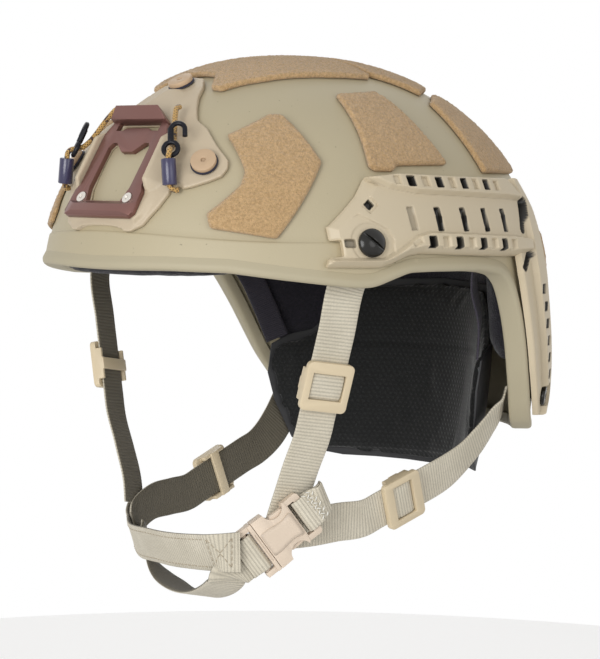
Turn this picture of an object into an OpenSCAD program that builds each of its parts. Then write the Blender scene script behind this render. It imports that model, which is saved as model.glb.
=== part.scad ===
// Combat helmet with front shroud, side rails, loop patches, liner pads and a four-point chin strap.
// Millimetres. +Z up, the wearer faces -Y, the wearer's left is +X.
// The origin is the centre of the shell's widest section, level with the head's widest section.

/* [Shell] */
// Half of the shell's width at its widest section
shell_half_width = 112; // [106:1:118]
// Reach from the origin to the brow
shell_front = 135; // [130:1:141]
// Reach from the origin to the back
shell_back = 141; // [135:1:147]
// Height of the crown above the origin
shell_crown = 109.5; // [105:0.5:114]
// Thickness of the laminate
shell_wall = 7.5; // [6:0.5:9]
// Depth of the nape edge below the origin
nape_drop = 79; // [74:1:84]
// Height of the brow edge above the origin
brow_rise = 8; // [6:0.5:11]

/* [Edge trim] */
// Thickness of the trim's lips
trim_lip = 1.3; // [0.8:0.1:1.8]
// Depth of the lips over the shell
trim_depth = 5; // [3:0.5:7]

/* [Loop patches] */
// Thickness of a loop patch
patch_thickness = 2.6; // [1.5:0.1:3.2]

/* [Front shroud] */
// Height of the insert's foot above the origin
shroud_height = 31.9; // [31:0.1:34]
// Distance of the insert's foot in front of the shell
shroud_stand = 6.4; // [5.8:0.1:8]
// Lean of the insert back from upright
shroud_lean = 32.5; // [30:0.5:34]
// Half of the insert's width
insert_half_width = 22; // [20:0.5:24]
// Thickness of the insert's plate
insert_plate = 2.4; // [1.6:0.1:2.8]
// Half of the insert window's width
window_half_width = 14.6; // [12:0.2:15.5]
// Thickness of the shroud's wings
wing_thickness = 3; // [2:0.2:4]
// Diameter of the shroud screws' heads
shroud_head_d = 12.4; // [10:0.2:13]
// Diameter of the shroud screws' shanks
shroud_shank_d = 5; // [4:0.5:6]

/* [Lanyards] */
// Diameter of the elastic cord
lanyard_d = 2.6; // [2:0.2:3]
// Diameter of the shrink sleeve
sleeve_d = 7; // [6:0.2:8]
// Length of the shrink sleeve
sleeve_length = 12.5; // [10:0.5:14]
// Diameter of the hook's wire
hook_wire = 2.4; // [2:0.1:2.8]

/* [Rails] */
// Height of the rail's web above the shell
rail_web = 6.4; // [5:0.2:7]
// Height of the rail's ridges above the shell
rail_ridge = 9.6; // [8:0.2:11]
// Pitch of the pockets in the ridges
pocket_pitch = 8.2; // [7.5:0.1:8.6]
// Side of a pocket
pocket_size = 4.4; // [3.5:0.1:5]
// Diameter of the front screw's domed head
knob_d = 13.6; // [12:0.2:15]
// Diameter of the rail bolts' shanks
bolt_d = 5; // [4:0.5:6]

/* [Liner] */
// Thickness of the side, brow and back pads
pad_thickness = 14; // [10:0.5:17]
// Thickness of the nape pad
nape_pad_thickness = 7; // [5:0.5:9]
// Radius of the fit dial's knob
dial_r = 12; // [10:0.5:13]

/* [Chin strap] */
// Width of the webbing
web_width = 19.5; // [16:0.5:20]
// Thickness of the webbing
web_thickness = 1.5; // [1:0.1:1.8]
// Length of a slider buckle along the webbing
slider_length = 24; // [20:1:26]
// Travel of a slider each way
slider_travel = 10; // [6:1:12]
// Travel of the tongue out of its housing
buckle_travel = 22; // [18:1:24]

/* [Hidden] */
$fn = 32;

// Clearance between pieces that touch
gap = 0.3;
// Clearance between a screw and its hole
bore_gap = 0.25;
// Exponent of the shell's squarish plan
squareness = 2.1;
// Powers that draw the plan in towards the crown, in front, at the sides and behind
front_power = 0.8;
side_power = 0.905;
back_power = 0.935;
crown_power = 1.11;
// How far the wall is drawn in at the nape's level, at the sides and behind
side_tuck = 6.5;
back_tuck = 4;
tuck_level = 80;

function sign_of(v) = v < 0 ? -1 : 1;
function unit(v) = v / norm(v);
function elevation(z) = z <= 0 ? 0 : asin(min(1, pow(z / shell_crown, 1 / crown_power)));
function tuck(z) = pow(min(z, 0) / tuck_level, 2);
function half_width(z, d) = (shell_half_width + d) * pow(cos(elevation(z)), side_power) - side_tuck * tuck(z);
function front_reach(z, d) = (shell_front + d) * pow(cos(elevation(z)), front_power);
function back_reach(z, d) = (shell_back + d) * pow(cos(elevation(z)), back_power) - back_tuck * tuck(z);

// Places are drawn on a shell of these sizes, and move with the shell when its own sizes change
drawn = [112, 135, 141, 109.5];
function drawn_x(x) = x * shell_half_width / drawn[0];
function drawn_y(y) = y * (y < 0 ? shell_front / drawn[1] : shell_back / drawn[2]);
function drawn_z(z) = z > 0 ? z * shell_crown / drawn[3] : z;
function follow(p) = [drawn_x(p.x), drawn_y(p.y), drawn_z(p.z)];

// Point at plan angle u from the front, at height z of the outer face, d outside that face
function at(u, z, d = 0) = [
    half_width(z, d) * sign_of(sin(u)) * pow(abs(sin(u)), 2 / squareness),
    -(cos(u) > 0 ? front_reach(z, d) : back_reach(z, d)) * sign_of(cos(u)) * pow(abs(cos(u)), 2 / squareness),
    z <= 0 ? z : (shell_crown + d) * pow(sin(elevation(z)), crown_power)];
// The same point found from two coordinates of its drawn place on the outer face
function front_angle(y, z) = acos(-sign_of(y) * pow(min(1, abs(y) / (y < 0 ? front_reach(z, 0)
    : back_reach(z, 0))), squareness / 2));
function side_angle(x, z) = asin(sign_of(x) * pow(min(1, abs(x) / half_width(z, 0)), squareness / 2));
function at_side(y, z, d = 0) = at(front_angle(drawn_y(y), drawn_z(z)), drawn_z(z), d);
function at_front(x, z, d = 0) = at(side_angle(drawn_x(x), drawn_z(z)), drawn_z(z), d);
function at_back(x, z, d = 0) = at(180 - side_angle(drawn_x(x), drawn_z(z)), drawn_z(z), d);
function fill_at(x, y, z) = pow(abs(x) / half_width(z, 0), squareness)
    + pow(abs(y) / (y < 0 ? front_reach(z, 0) : back_reach(z, 0)), squareness);
function height_at(x, y, low = 0, high = 1, n = 22) = n == 0 ? low * shell_crown :
    fill_at(x, y, shell_crown * (low + high) / 2) < 1 ? height_at(x, y, (low + high) / 2, high, n - 1)
    : height_at(x, y, low, (low + high) / 2, n - 1);
function at_top(x, y, d = 0) = plan_point(drawn_x(x), drawn_y(y), d);
function plan_point(x, y, d) = let (z = height_at(x, y))
    at(atan2(sign_of(x) * pow(abs(x) / half_width(z, 0), squareness / 2),
        -sign_of(y) * pow(abs(y) / (y < 0 ? front_reach(z, 0) : back_reach(z, 0)), squareness / 2)), z, d);
function lay(view, p, d) = view == "side" ? at_side(p[0], p[1], d) : view == "front" ? at_front(p[0], p[1], d)
    : view == "back" ? at_back(p[0], p[1], d) : view == "top" ? at_top(p[0], p[1], d) : at(p[0], p[1], d);

// Closed skin over a stack of rings, each a list of as many points, closed by a point at each end
module skin(first, rings, last) {
    n = len(rings[0]);
    m = len(rings);
    points = [first, for (r = rings) for (p = r) p, last];
    polyhedron(points, [
        for (i = [0 : n - 1]) [0, 1 + (i + 1) % n, 1 + i],
        for (k = [0 : m - 2]) for (i = [0 : n - 1])
            let (a = 1 + k * n + i, b = 1 + k * n + (i + 1) % n) each [[a, b, a + n], [b, b + n, a + n]],
        for (i = [0 : n - 1]) let (k = (m - 1) * n) [m * n + 1, 1 + k + i, 1 + k + (i + 1) % n]
    ], convexity = 8);
}
function mean(points, i = 0) = i == len(points) ? points[0] * 0
    : points[i] / len(points) + mean(points, i + 1);
// Outline with long edges divided
function divided(outline, step) = [for (i = [0 : len(outline) - 1])
    let (a = outline[i], b = outline[(i + 1) % len(outline)], k = max(1, ceil(norm(b - a) / step)))
    for (j = [0 : k - 1]) a + (b - a) * j / k];
function mirrored(half) = [each half,
    for (i = [len(half) - 1 : -1 : 0]) if (half[i][0] != 0) [-half[i][0], half[i][1]]];

// Slab that follows the shell over an outline, from d0 to d1 outside its face
module slab(view, outline, d0, d1, rings = 4, step = 8, centre = undef) {
    edge = divided(outline, step);
    c = is_undef(centre) ? mean(edge) : centre;
    skin(lay(view, c, d1),
        [for (k = [1 : rings]) [for (p = edge) lay(view, c + (p - c) * k / rings, d1)],
         for (k = [rings : -1 : 1]) [for (p = edge) lay(view, c + (p - c) * k / rings, d0)]],
        lay(view, c, d0));
}

// Cushion inside the shell: flat against it, drawn in at its sides and crowned towards the head
module cushion(view, outline, base, thickness, step = 12, inner = 1) {
    edge = divided(outline, step);
    c = mean(edge);
    crown = 0.8;
    profile = [for (k = [1 : inner]) [crown * k / (inner + 1), 1],
        [crown, 0.93], [0.93, 0.75], [1, 0.4], [0.97, 0.12], [0.94, 0],
        for (k = [inner : -1 : 1]) [crown * k / (inner + 1), 0]];
    skin(lay(view, c, base - thickness),
        [for (s = profile) [for (p = edge) lay(view, c + (p - c) * s[0], base - thickness * s[1])]],
        lay(view, c, base));
}
// Rounded rectangle in plan angle and height, for a pad
function pad_outline(u, z, du, dz, n = 24) = [for (i = [0 : n - 1]) let (a = -360 * i / n)
    [u + du * sign_of(cos(a)) * pow(abs(cos(a)), 0.5), z + dz * sign_of(sin(a)) * pow(abs(sin(a)), 0.5)]];

// Strip of the shell's side between two lines, each a table of height against y, drawn in by inset
module side_strip(y0, y1, low, high, d0, d1, across = 1, inset = 0, step = 8) {
    n = ceil((y1 - y0) / step);
    rings = [for (i = [0 : n])
        let (y = y0 + (y1 - y0) * i / n, a = lookup(y, low) + inset, b = lookup(y, high) - inset)
        [for (k = [0 : across]) at_side(y, a + (b - a) * k / across, d1),
         for (k = [across : -1 : 0]) at_side(y, a + (b - a) * k / across, d0)]];
    skin(mean(rings[0]), rings, mean(rings[n]));
}

// Flat webbing along hand-set points, with the direction that its face looks in at each
module ribbon(points, faces, width = web_width, thick = web_thickness) {
    n = len(points);
    rings = [for (i = [0 : n - 1]) let (t = unit(points[min(i + 1, n - 1)] - points[max(i - 1, 0)]),
        w = unit(cross(t, faces[i])), f = cross(w, t)) [for (s = [[-1, -1], [1, -1], [1, 1], [-1, 1]])
        points[i] + w * s[0] * width / 2 + f * s[1] * thick / 2]];
    skin(mean(rings[0]), rings, mean(rings[n - 1]));
}
// Round cord along hand-set points
module cord(points, d, sides = 8) {
    n = len(points);
    rings = [for (i = [0 : n - 1]) let (t = unit(points[min(i + 1, n - 1)] - points[max(i - 1, 0)]),
        a = unit(cross(t, [0.31, 0.2, 0.93])), b = cross(a, t)) [for (k = [0 : sides - 1])
        points[i] + (a * cos(360 * k / sides) + b * sin(360 * k / sides)) * d / 2]];
    skin(points[0], rings, points[n - 1]);
}
// Places a piece at a point: its y runs along one direction and its z looks in another
module place(p, along, face) {
    t = unit(along);
    f = unit(face - t * (face * t));
    w = cross(t, f);
    multmatrix([[w.x, t.x, f.x, p.x], [w.y, t.y, f.y, p.y], [w.z, t.z, f.z, p.z]]) children();
}
// Places a piece at a point with its z along an axis
module stand(p, axis) {
    f = unit(axis);
    w = unit(cross([0, 0, 1], f));
    t = cross(f, w);
    multmatrix([[w.x, t.x, f.x, p.x], [w.y, t.y, f.y, p.y], [w.z, t.z, f.z, p.z]]) children();
}
module both_sides() {
    children();
    mirror([1, 0, 0]) children();
}
// Direction that the shell's face looks in near a point
function outward(p) = unit([p.x / pow(shell_half_width, 2),
    p.y / pow(p.y < 0 ? shell_front : shell_back, 2),
    p.z > 0 ? p.z / pow(shell_crown, 2) : 2 * side_tuck * p.z / pow(tuck_level, 2) / shell_half_width]);
module rounded_plate(w, h, r) {
    hull() for (x = [-1, 1], y = [-1, 1]) translate([x * (w / 2 - r), y * (h / 2 - r)]) circle(r);
}

// Rim of the shell: height of its edge against plan angle
rim = [[0, brow_rise], [20, brow_rise + 0.6], [35, brow_rise], [46, 5.2], [56, 2.8], [64, 1], [68, 1.2],
    [72.4, 4.8], [76.7, 8], [85, 8.4], [94, 8.2], [99, 7.2], [103, 5.4], [105, 2.4], [107.5, -3], [112, -20],
    [118.3, -48], [123.5, -65], [127.5, -nape_drop + 6], [134, -nape_drop + 1], [141, -nape_drop],
    [180, -nape_drop]];
rim_angles = [0, 7, 14, 21, 28, 35, 41, 46, 51, 56, 60, 64, 68, 72.4, 76.7, 81, 85, 89.5, 94, 99, 103, 105,
    107.5, 109.7, 112, 114, 116, 118.3, 121, 123.5, 125.5, 127.5, 130.5, 134, 141, 149, 157, 165, 172.5];
all_angles = [each rim_angles, 180, for (i = [len(rim_angles) - 1 : -1 : 1]) -rim_angles[i]];
function rim_z(u) = lookup(abs(u > 180 ? 360 - u : u), rim);
lower_rows = 4;
upper_rows = 7;
belt = 24;
// Height of row k above the rim at plan angle u
function row_z(u, k) = k <= lower_rows ? rim_z(u) + (belt - rim_z(u)) * k / lower_rows
    : let (rise = (90 - elevation(belt)) * (k - lower_rows) / (upper_rows + 1))
    shell_crown * pow(sin(elevation(belt) + rise), crown_power);

shroud_bolt_side = [44.6, 55.2];
shroud_bolt_top = [0, 92.6];
rail_bolt_front = [-55.3, 19.6];
rail_bolt_rear = [88, -60];

module shell() {
    color([0.72, 0.68, 0.56]) difference() {
        skin([0, 0, shell_crown],
            [for (k = [upper_rows + lower_rows : -1 : 0]) [for (u = all_angles) at(u, row_z(u, k), 0)],
             for (k = [0 : upper_rows + lower_rows]) [for (u = all_angles) at(u, row_z(u, k), -shell_wall)]],
            [0, 0, shell_crown - shell_wall]);
        shroud_bolts() cylinder(d = shroud_shank_d + 2 * bore_gap, h = 40, center = true);
        rail_bolts() cylinder(d = bolt_d + 2 * bore_gap, h = 40, center = true);
    }
}
module shroud_bolts() {
    for (s = [-1, 1]) let (p = at_front(s * shroud_bolt_side[0], shroud_bolt_side[1]))
        stand(p, outward(p)) children();
    let (p = at_front(shroud_bolt_top[0], shroud_bolt_top[1])) stand(p, outward(p)) children();
}
module rail_bolts() {
    front_rail_bolts() children();
    rear_rail_bolts() children();
}
module front_rail_bolts() {
    both_sides() let (p = at_side(rail_bolt_front[0], rail_bolt_front[1])) stand(p, outward(p)) children();
}
module rear_rail_bolts() {
    both_sides() let (p = at_side(rail_bolt_rear[0], rail_bolt_rear[1])) stand(p, outward(p)) children();
}

// The trim is a channel round the rim, set square to the rim's own run
trim_gap = 0.6;
module edge_trim() {
    n = len(all_angles);
    color([0.64, 0.6, 0.48]) {
        rings = [for (i = [0 : n - 1]) let (
            u = all_angles[i], v = all_angles[(i + 1) % n], w = all_angles[(i + n - 1) % n],
            p = at(u, rim_z(u)), t = unit(at(v, rim_z(v)) - at(w, rim_z(w))),
            o = unit(at(u, rim_z(u), 1) - at(u, rim_z(u), -1)), up = unit(cross(o, t)))
            [for (s = [[trim_lip + trim_gap, trim_depth], [trim_gap, trim_depth], [trim_gap, -gap],
                [-shell_wall - trim_gap, -gap], [-shell_wall - trim_gap, trim_depth],
                [-shell_wall - trim_gap - trim_lip, trim_depth],
                [-shell_wall - trim_gap - trim_lip, -gap - trim_lip],
                [trim_lip + trim_gap, -gap - trim_lip]])
                p + o * s[0] + up * s[1]]];
        m = len(rings[0]);
        polyhedron([for (r = rings) for (q = r) q], [for (i = [0 : n - 1]) for (j = [0 : m - 1]) let (
            a = i * m + j, b = i * m + (j + 1) % m, c = ((i + 1) % n) * m + j, d = ((i + 1) % n) * m + (j + 1) % m)
            each [[a, b, c], [b, d, c]]], convexity = 8);
    }
}

// Frame of the shroud insert: x to the wearer's left, y up its face, z out of it
module on_shroud() {
    z = drawn_z(shroud_height);
    lean = atan(tan(shroud_lean) * -drawn_y(-1) / drawn_z(1));
    translate([0, -front_reach(z, 0) - shroud_stand, z]) rotate([90 - lean, 0, 0]) children();
}
insert_height = 58;
window_low = 8.2;
window_high = 41;
slot_low = 48;
slot_high = 52.5;
insert_screw = [insert_half_width - 5.5, 10];
insert_screw_d = 5.6;
insert_outline = mirrored([[0, 0], [insert_half_width, 0], [insert_half_width + 2.4, 2.5],
    [insert_half_width + 1.8, 14], [insert_half_width, 17.5], [insert_half_width, 46],
    [insert_half_width - 3, slot_high], [0, slot_high]]);
window_outline = mirrored([[0, window_low], [window_half_width - 2.4, window_low],
    [window_half_width, 16], [window_half_width, 38.5], [window_half_width - 1.6, window_high],
    [9.9, window_high], [4, 36], [0, 36]]);
slot_outline = mirrored([[0, 49.5], [8, 49.5], [10, slot_low], [15, slot_low], [15, slot_high],
    [0, slot_high]]);
wing_outline = mirrored([[0, 24.2], [20, 24.2], [26, 27], [31.8, 35.7], [35, 43], [43.4, 45], [50, 47.8],
    [53.5, 50], [54.3, 53.5], [53, 57], [36.5, 71.5], [28.3, 76], [18, 87], [14, 92], [8, 96], [0, 96.8]]);
seat_outline = mirrored([[0, 1], [24.4, 1], [26.5, 14], [26, 46], [21, 53], [16, insert_height],
    [0, insert_height]]);
seat_depth = insert_plate + gap;

module shroud_body() {
    color([0.68, 0.63, 0.52]) difference() {
        union() {
            slab("front", wing_outline, gap, wing_thickness, rings = 5, centre = [0, 58]);
            difference() {
                union() {
                    hull() {
                        on_shroud() translate([0, 0, -seat_depth - 1])
                            linear_extrude(1) polygon(seat_outline);
                        for (s = [-1, 1], p = [[20, 24.8], [29, 34], [32, 44], [29, 66], [17, 84]])
                            translate(at_front(s * p[0], p[1], wing_thickness - 2)) cube(1, center = true);
                    }
                    // Side walls that stand proud beside the window
                    for (s = [-1, 1]) hull() {
                        on_shroud() for (p = [[16, -2, 24.5], [20, 2.2, 24], [42, 2.6, 23.8], [47, -1, 23.5]])
                            translate([s * p[2], p[0], p[1]]) cube([2, 1, 1], center = true);
                        for (p = [[30, 46], [29, 66]])
                            translate(at_front(s * p[0], p[1], wing_thickness - 1)) cube(1, center = true);
                    }
                    // Spine from the top bar to the upper screw
                    hull() {
                        on_shroud() translate([0, slot_high + 2, -seat_depth - 2])
                            cube([32, 8, 4], center = true);
                        translate(at_front(0, 90, wing_thickness - 1.5)) sphere(d = 8);
                        for (s = [-1, 1]) translate(at_front(s * 9, 88, wing_thickness - 2))
                            cube(2, center = true);
                    }
                }
                slab("front", mirrored([[0, 16], [48, 16], [62, 40], [58, 78], [24, 101], [0, 103]]), -40, gap,
                    rings = 5, step = 9, centre = [0, 58]);
                // Arched cut under the foot
                translate([0, -shell_front, drawn_z(belt + 2.8) - arch_radius]) rotate([90, 0, 0])
                    cylinder(r = arch_radius, h = 60, center = true, $fn = 96);
            }
        }
        on_shroud() translate([0, 0, -seat_depth]) linear_extrude(30)
            offset(delta = gap) polygon(insert_outline);
        on_shroud() translate([-20.5, slot_high - 1, -seat_depth])
            cube([41, insert_height - slot_high + 2, 10]);
        on_shroud() translate([0, 0, -30]) linear_extrude(60) polygon(window_outline);
        on_shroud() translate([0, 0, -7]) linear_extrude(30) polygon(slot_outline);
        on_shroud() for (s = [-1, 1]) translate([s * insert_screw[0], insert_screw[1], -10])
            cylinder(d = 2.6, h = 20);
        shroud_bolts() cylinder(d = shroud_shank_d + 2 * bore_gap, h = 60, center = true);
        shroud_bolts() translate([0, 0, wing_thickness + gap / 2]) cylinder(d = shroud_head_d + 2, h = 20);
        both_sides() translate(lanyard_foot) rotate([20, 35, 0]) cylinder(d = 6, h = 10, center = true);
        both_sides() stand(lanyard_head, outward(lanyard_head)) cylinder(d = 4.2, h = 10, center = true);
    }
}
arch_radius = 46;
lanyard_foot = follow([39.5, -119.5, 46]);
lanyard_head = follow([21, -101.5, 83.5]);

module shroud_insert() {
    color([0.5, 0.33, 0.33]) on_shroud() difference() {
        union() {
            translate([0, 0, -insert_plate]) linear_extrude(insert_plate) polygon(insert_outline);
            // Raised and bevelled foot bar
            hull() {
                translate([0, 4.2, 0]) cube([2 * insert_half_width + 3, 7.4, 0.2], center = true);
                translate([0, 3.6, 1.8]) cube([2 * insert_half_width - 8, 4, 0.2], center = true);
            }
            // Top bar, leaning out as it rises, with cut corners
            hull() {
                translate([0, slot_high + 0.2, -insert_plate / 2])
                    cube([39, 0.4, insert_plate], center = true);
                translate([0, slot_high + 0.6, 2.6]) cube([38.5, 0.4, 0.4], center = true);
                translate([0, insert_height, 6.6]) cube([30, 0.4, 0.4], center = true);
                translate([0, insert_height - 0.6, 2]) cube([30, 0.4, 0.4], center = true);
            }
        }
        translate([0, 0, -10]) linear_extrude(20) polygon(window_outline);
        translate([0, 0, -10]) linear_extrude(12) polygon(slot_outline);
        for (s = [-1, 1]) translate([s * insert_screw[0], insert_screw[1], -10])
            cylinder(d = insert_screw_d / 2 + 2 * bore_gap, h = 20);
        for (s = [-1, 1]) translate([s * insert_screw[0], insert_screw[1], -0.6])
            cylinder(d = insert_screw_d + 2 * bore_gap, h = 10);
    }
}
module insert_screws() {
    color([0.82, 0.8, 0.78]) on_shroud()
        for (s = [-1, 1]) translate([s * insert_screw[0], insert_screw[1], 0]) difference() {
            union() {
                translate([0, 0, -0.6]) cylinder(d = insert_screw_d, h = 1.2);
                translate([0, 0, -5]) cylinder(d = 2.2, h = 5);
            }
            cylinder(d = 2.4, h = 2, $fn = 6);
        }
}
washer = 0.8;
module shroud_washers() {
    color([0.07, 0.07, 0.09]) shroud_bolts() translate([0, 0, wing_thickness + gap]) difference() {
        cylinder(d = shroud_head_d + 1, h = washer);
        cylinder(d = shroud_shank_d + 2 * bore_gap, h = 4 * washer, center = true);
    }
}
module shroud_screws() {
    color([0.8, 0.68, 0.5]) shroud_bolts() difference() {
        union() {
            translate([0, 0, wing_thickness + gap + washer]) cylinder(d = shroud_head_d, h = 2.4);
            translate([0, 0, -shell_wall - 2])
                cylinder(d = shroud_shank_d, h = shell_wall + wing_thickness + 4);
        }
        translate([0, 0, wing_thickness + gap + washer + 1.2]) cylinder(d = 2.6, h = 5, $fn = 6);
    }
}

// Lanyards: the cord rises from the wing's hole through the sleeve and the hook's eye to the upper hole
lanyard_eye = follow([34.2, -118.6, 63.6]);
eye_axis = [0.57, -0.77, 0.29];
sleeve_at = follow([37.25, -122.4, 52.8]);
sleeve_axis = [-1.3, 0.1, 12.4];
module left_lanyard_cord() {
    below = [[39.3, -118.6, 44.3], [39, -120.8, 44.5], [38.2, -122.2, 45.8]];
    above = [[36.6, -122.3, 59.6], [36.6, -122, 61.3], [35.9, -120.9, 62.9]];
    rising = [[32.5, -116.3, 64.3], [30.4, -113.4, 67], [28.2, -110.8, 71], [25.8, -108.6, 75.5],
        [23.4, -106, 80], [21.5, -103.3, 83.2], [20.8, -100.8, 83.8]];
    color([0.66, 0.5, 0.25]) cord([for (p = below) follow(p), sleeve_at, for (p = above) follow(p),
        lanyard_eye, for (p = rising) follow(p)], lanyard_d);
}
module left_lanyard_sleeve() {
    color([0.13, 0.13, 0.26]) place(sleeve_at, sleeve_axis, [0.3, -1, 0.2]) rotate([90, 0, 0]) difference() {
        cylinder(d = sleeve_d, h = sleeve_length, center = true);
        cylinder(d = lanyard_d + 1.6, h = sleeve_length + 2, center = true);
    }
}
eye_r = 3.4;
module left_hook() {
    color([0.07, 0.07, 0.09]) place(lanyard_eye, [-0.35, 0.3, 1], eye_axis) {
        rotate_extrude() translate([eye_r, 0]) circle(d = hook_wire);
        translate([0, eye_r, 0]) rotate([-90, 0, 0]) cylinder(d = hook_wire * 1.25, h = 7);
        translate([eye_r, 9.5, 0]) rotate_extrude(angle = 180) translate([eye_r, 0]) circle(d = hook_wire);
        translate([2 * eye_r, 9.5, 0]) rotate([90, 0, 0]) cylinder(d = hook_wire, h = 3.6);
    }
}
module right_lanyard_cord() { mirror([1, 0, 0]) left_lanyard_cord(); }
module right_lanyard_sleeve() { mirror([1, 0, 0]) left_lanyard_sleeve(); }
module right_hook() { mirror([1, 0, 0]) left_hook(); }

// Side rail: web, two ridges with pockets, front plate and rear arm
rail_seat = 0.6;
arm_lift = 2.4;
rail_tip = -75.5;
rail_end = 54;
web_front = -73;
ridge_front = -47.8;
lower_ridge_low = [[-75.5, 9], [-51.2, 8.8], [-44.4, 10.8], [-36, 14], [-28, 15.2], [37, 12.8], [54, 12.6]];
lower_ridge_high = [[-75.5, 9.8], [-74.2, 13.2], [-49.5, 13.4], [-44, 16.2], [-31, 23.6], [-24, 25.2],
    [41, 22.7], [54, 21]];
upper_ridge_low = [[-48.6, 47.5], [-40.2, 43.6], [-26, 41.2], [40, 38.9], [54, 38]];
rail_top = [[-73, 27.6], [-72.2, 27.8], [-56.2, 41.6], [-49.1, 49.6], [-33.3, 51.2], [-3, 50.2], [41, 49.5],
    [47, 46], [54, 40]];
// Front and back edges of the rear arm: y against height
arm_front = [[-71, 86], [-64, 80], [-48, 69.5], [-20, 56.5], [-6, 50.5], [4, 46.5], [12, 45], [48, 44]];
arm_back = [[-71, 90], [-62, 98], [-48, 92], [-20, 79], [-6, 73.5], [12, 68], [34, 64], [48, 56]];
slot_pitch = 15.8;
pocket_count = 8;

module left_rail() {
    color([0.72, 0.67, 0.54]) difference() {
        union() {
            side_strip(web_front, rail_end, lower_ridge_low, rail_top, rail_seat, rail_web, across = 4);
            side_strip(rail_tip, rail_end - 8, lower_ridge_low, lower_ridge_high, rail_seat + 0.5, rail_ridge,
                across = 1, inset = 0.3);
            side_strip(ridge_front, rail_end - 10, upper_ridge_low, rail_top, rail_web - 1, rail_ridge,
                across = 1, inset = 0.3);
            rail_arm(0, 1, arm_lift, rail_web - 0.5);
            rail_arm(0.42, 0.96, rail_web - 1.5, rail_ridge - 0.6);
        }
        // Notch in the front edge and the recess round the front screw
        rail_cut(-71.7, 17.4, 7.6, 7.4);
        rail_cut(-52.2, 36.6, 3.4, 3.4);
        // Five slots in the web
        for (i = [0 : 4]) rail_cut(-31.5 + slot_pitch * i + (i > 1 ? 1 : 0), 31.8 - 0.3 * i, 3.6, 10.5);
        // Pockets in both ridges
        for (i = [0 : pocket_count - 1]) {
            rail_cut(-28.4 + pocket_pitch * i, 46 - 0.25 * i, pocket_size, pocket_size);
            rail_cut(-24.2 + pocket_pitch * i, 19.6 - 0.3 * i, pocket_size, pocket_size + 0.6);
        }
        // Long holes in the rear bracket
        rail_cut(52, 31, 4.6, 17, -20);
        rail_cut(51, 10, 4.6, 11, -38);
        for (z = [-4, -13, -22, -31, -40, -49])
            rail_cut(lookup(z, arm_front) + 15, z, pocket_size, pocket_size);
        rail_bolts() cylinder(d = bolt_d + 2 * bore_gap, h = 60, center = true);
        front_rail_bolts() translate([0, 0, rail_web - 1.4]) cylinder(d = knob_d + 7, h = 20);
        rear_rail_bolts() translate([0, 0, rail_web - 1.4]) cylinder(d = 12, h = 20);
    }
}
// Cut straight in from the side, w along the rail and h high
module rail_cut(y, z, w, h, turn = 0) {
    p = at_side(y, z, 0);
    translate([p.x - 3, p.y, p.z]) rotate([turn, 0, 0]) translate([0, -w / 2, -h / 2]) cube([24, w, h]);
}
// Part of the rear arm's width, from its front edge at 0 to its back edge at 1
module rail_arm(from, to, d0, d1) {
    zs = [for (z = [46, 36, 24, 12, 4, -6, -16, -26, -36, -46, -55, -62, -67, -71]) z];
    rings = [for (z = zs) let (f = lookup(z, arm_front), b = lookup(z, arm_back),
        y0 = f + (b - f) * from, y1 = f + (b - f) * to)
        [at_side(y0, z, d0), at_side(y0, z, d1), at_side(y1, z, d1), at_side(y1, z, d0)]];
    skin(mean(rings[0]), rings, mean(rings[len(rings) - 1]));
}
module right_rail() { mirror([1, 0, 0]) left_rail(); }

nut_d = 11;
module rail_front_screws() {
    color([0.05, 0.05, 0.06]) front_rail_bolts() difference() {
        union() {
            translate([0, 0, rail_web - 1.1]) {
                cylinder(d = knob_d, h = 1.6);
                translate([0, 0, 1.6]) intersection() {
                    translate([0, 0, -7.6]) sphere(r = 10.4, $fn = 48);
                    cylinder(d = knob_d - 0.4, h = 8);
                }
            }
            translate([0, 0, -shell_wall - 3.5]) cylinder(d = bolt_d, h = shell_wall + rail_web + 2.5);
        }
        translate([0, 0, rail_web + 2.4]) rotate([0, 0, -40]) cube([knob_d + 2, 1.6, 3], center = true);
    }
}
module rail_rear_screws() {
    color([0.05, 0.05, 0.06]) rear_rail_bolts() difference() {
        union() {
            translate([0, 0, rail_web - 1.1]) cylinder(d = 10, h = 2.4);
            translate([0, 0, -shell_wall - 3.5]) cylinder(d = bolt_d, h = shell_wall + rail_web + 2.5);
        }
        translate([0, 0, rail_web + 0.4]) cylinder(d = 4, h = 3, $fn = 6);
    }
}
module rail_nuts() {
    color([0.1, 0.1, 0.11]) rail_bolts() translate([0, 0, -shell_wall - 2 * gap - nut_thickness])
        difference() {
            cylinder(d = nut_d, h = nut_thickness);
            cylinder(d = bolt_d + 0.04, h = 8, center = true);
        }
}
module rail_standoffs() {
    color([0.05, 0.05, 0.06]) both_sides() for (z = [-10, -28, -44]) let (y = lookup(z, arm_front) + 10)
        stand(at_side(y, z, arm_lift / 2 - gap / 2), outward(at_side(y, z)))
            cube([4, 5, arm_lift - 4.5 * gap], center = true);
}

// Loop patches, each a slab a little proud of the paint
patch_low = 0.5;
patch_high = patch_low + patch_thickness;
module patch(view, outline, rings = 3) {
    color([0.8, 0.65, 0.43]) slab(view, outline, patch_low, patch_high, rings);
}
function reversed(list) = [for (i = [len(list) - 1 : -1 : 0]) list[i]];

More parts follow.
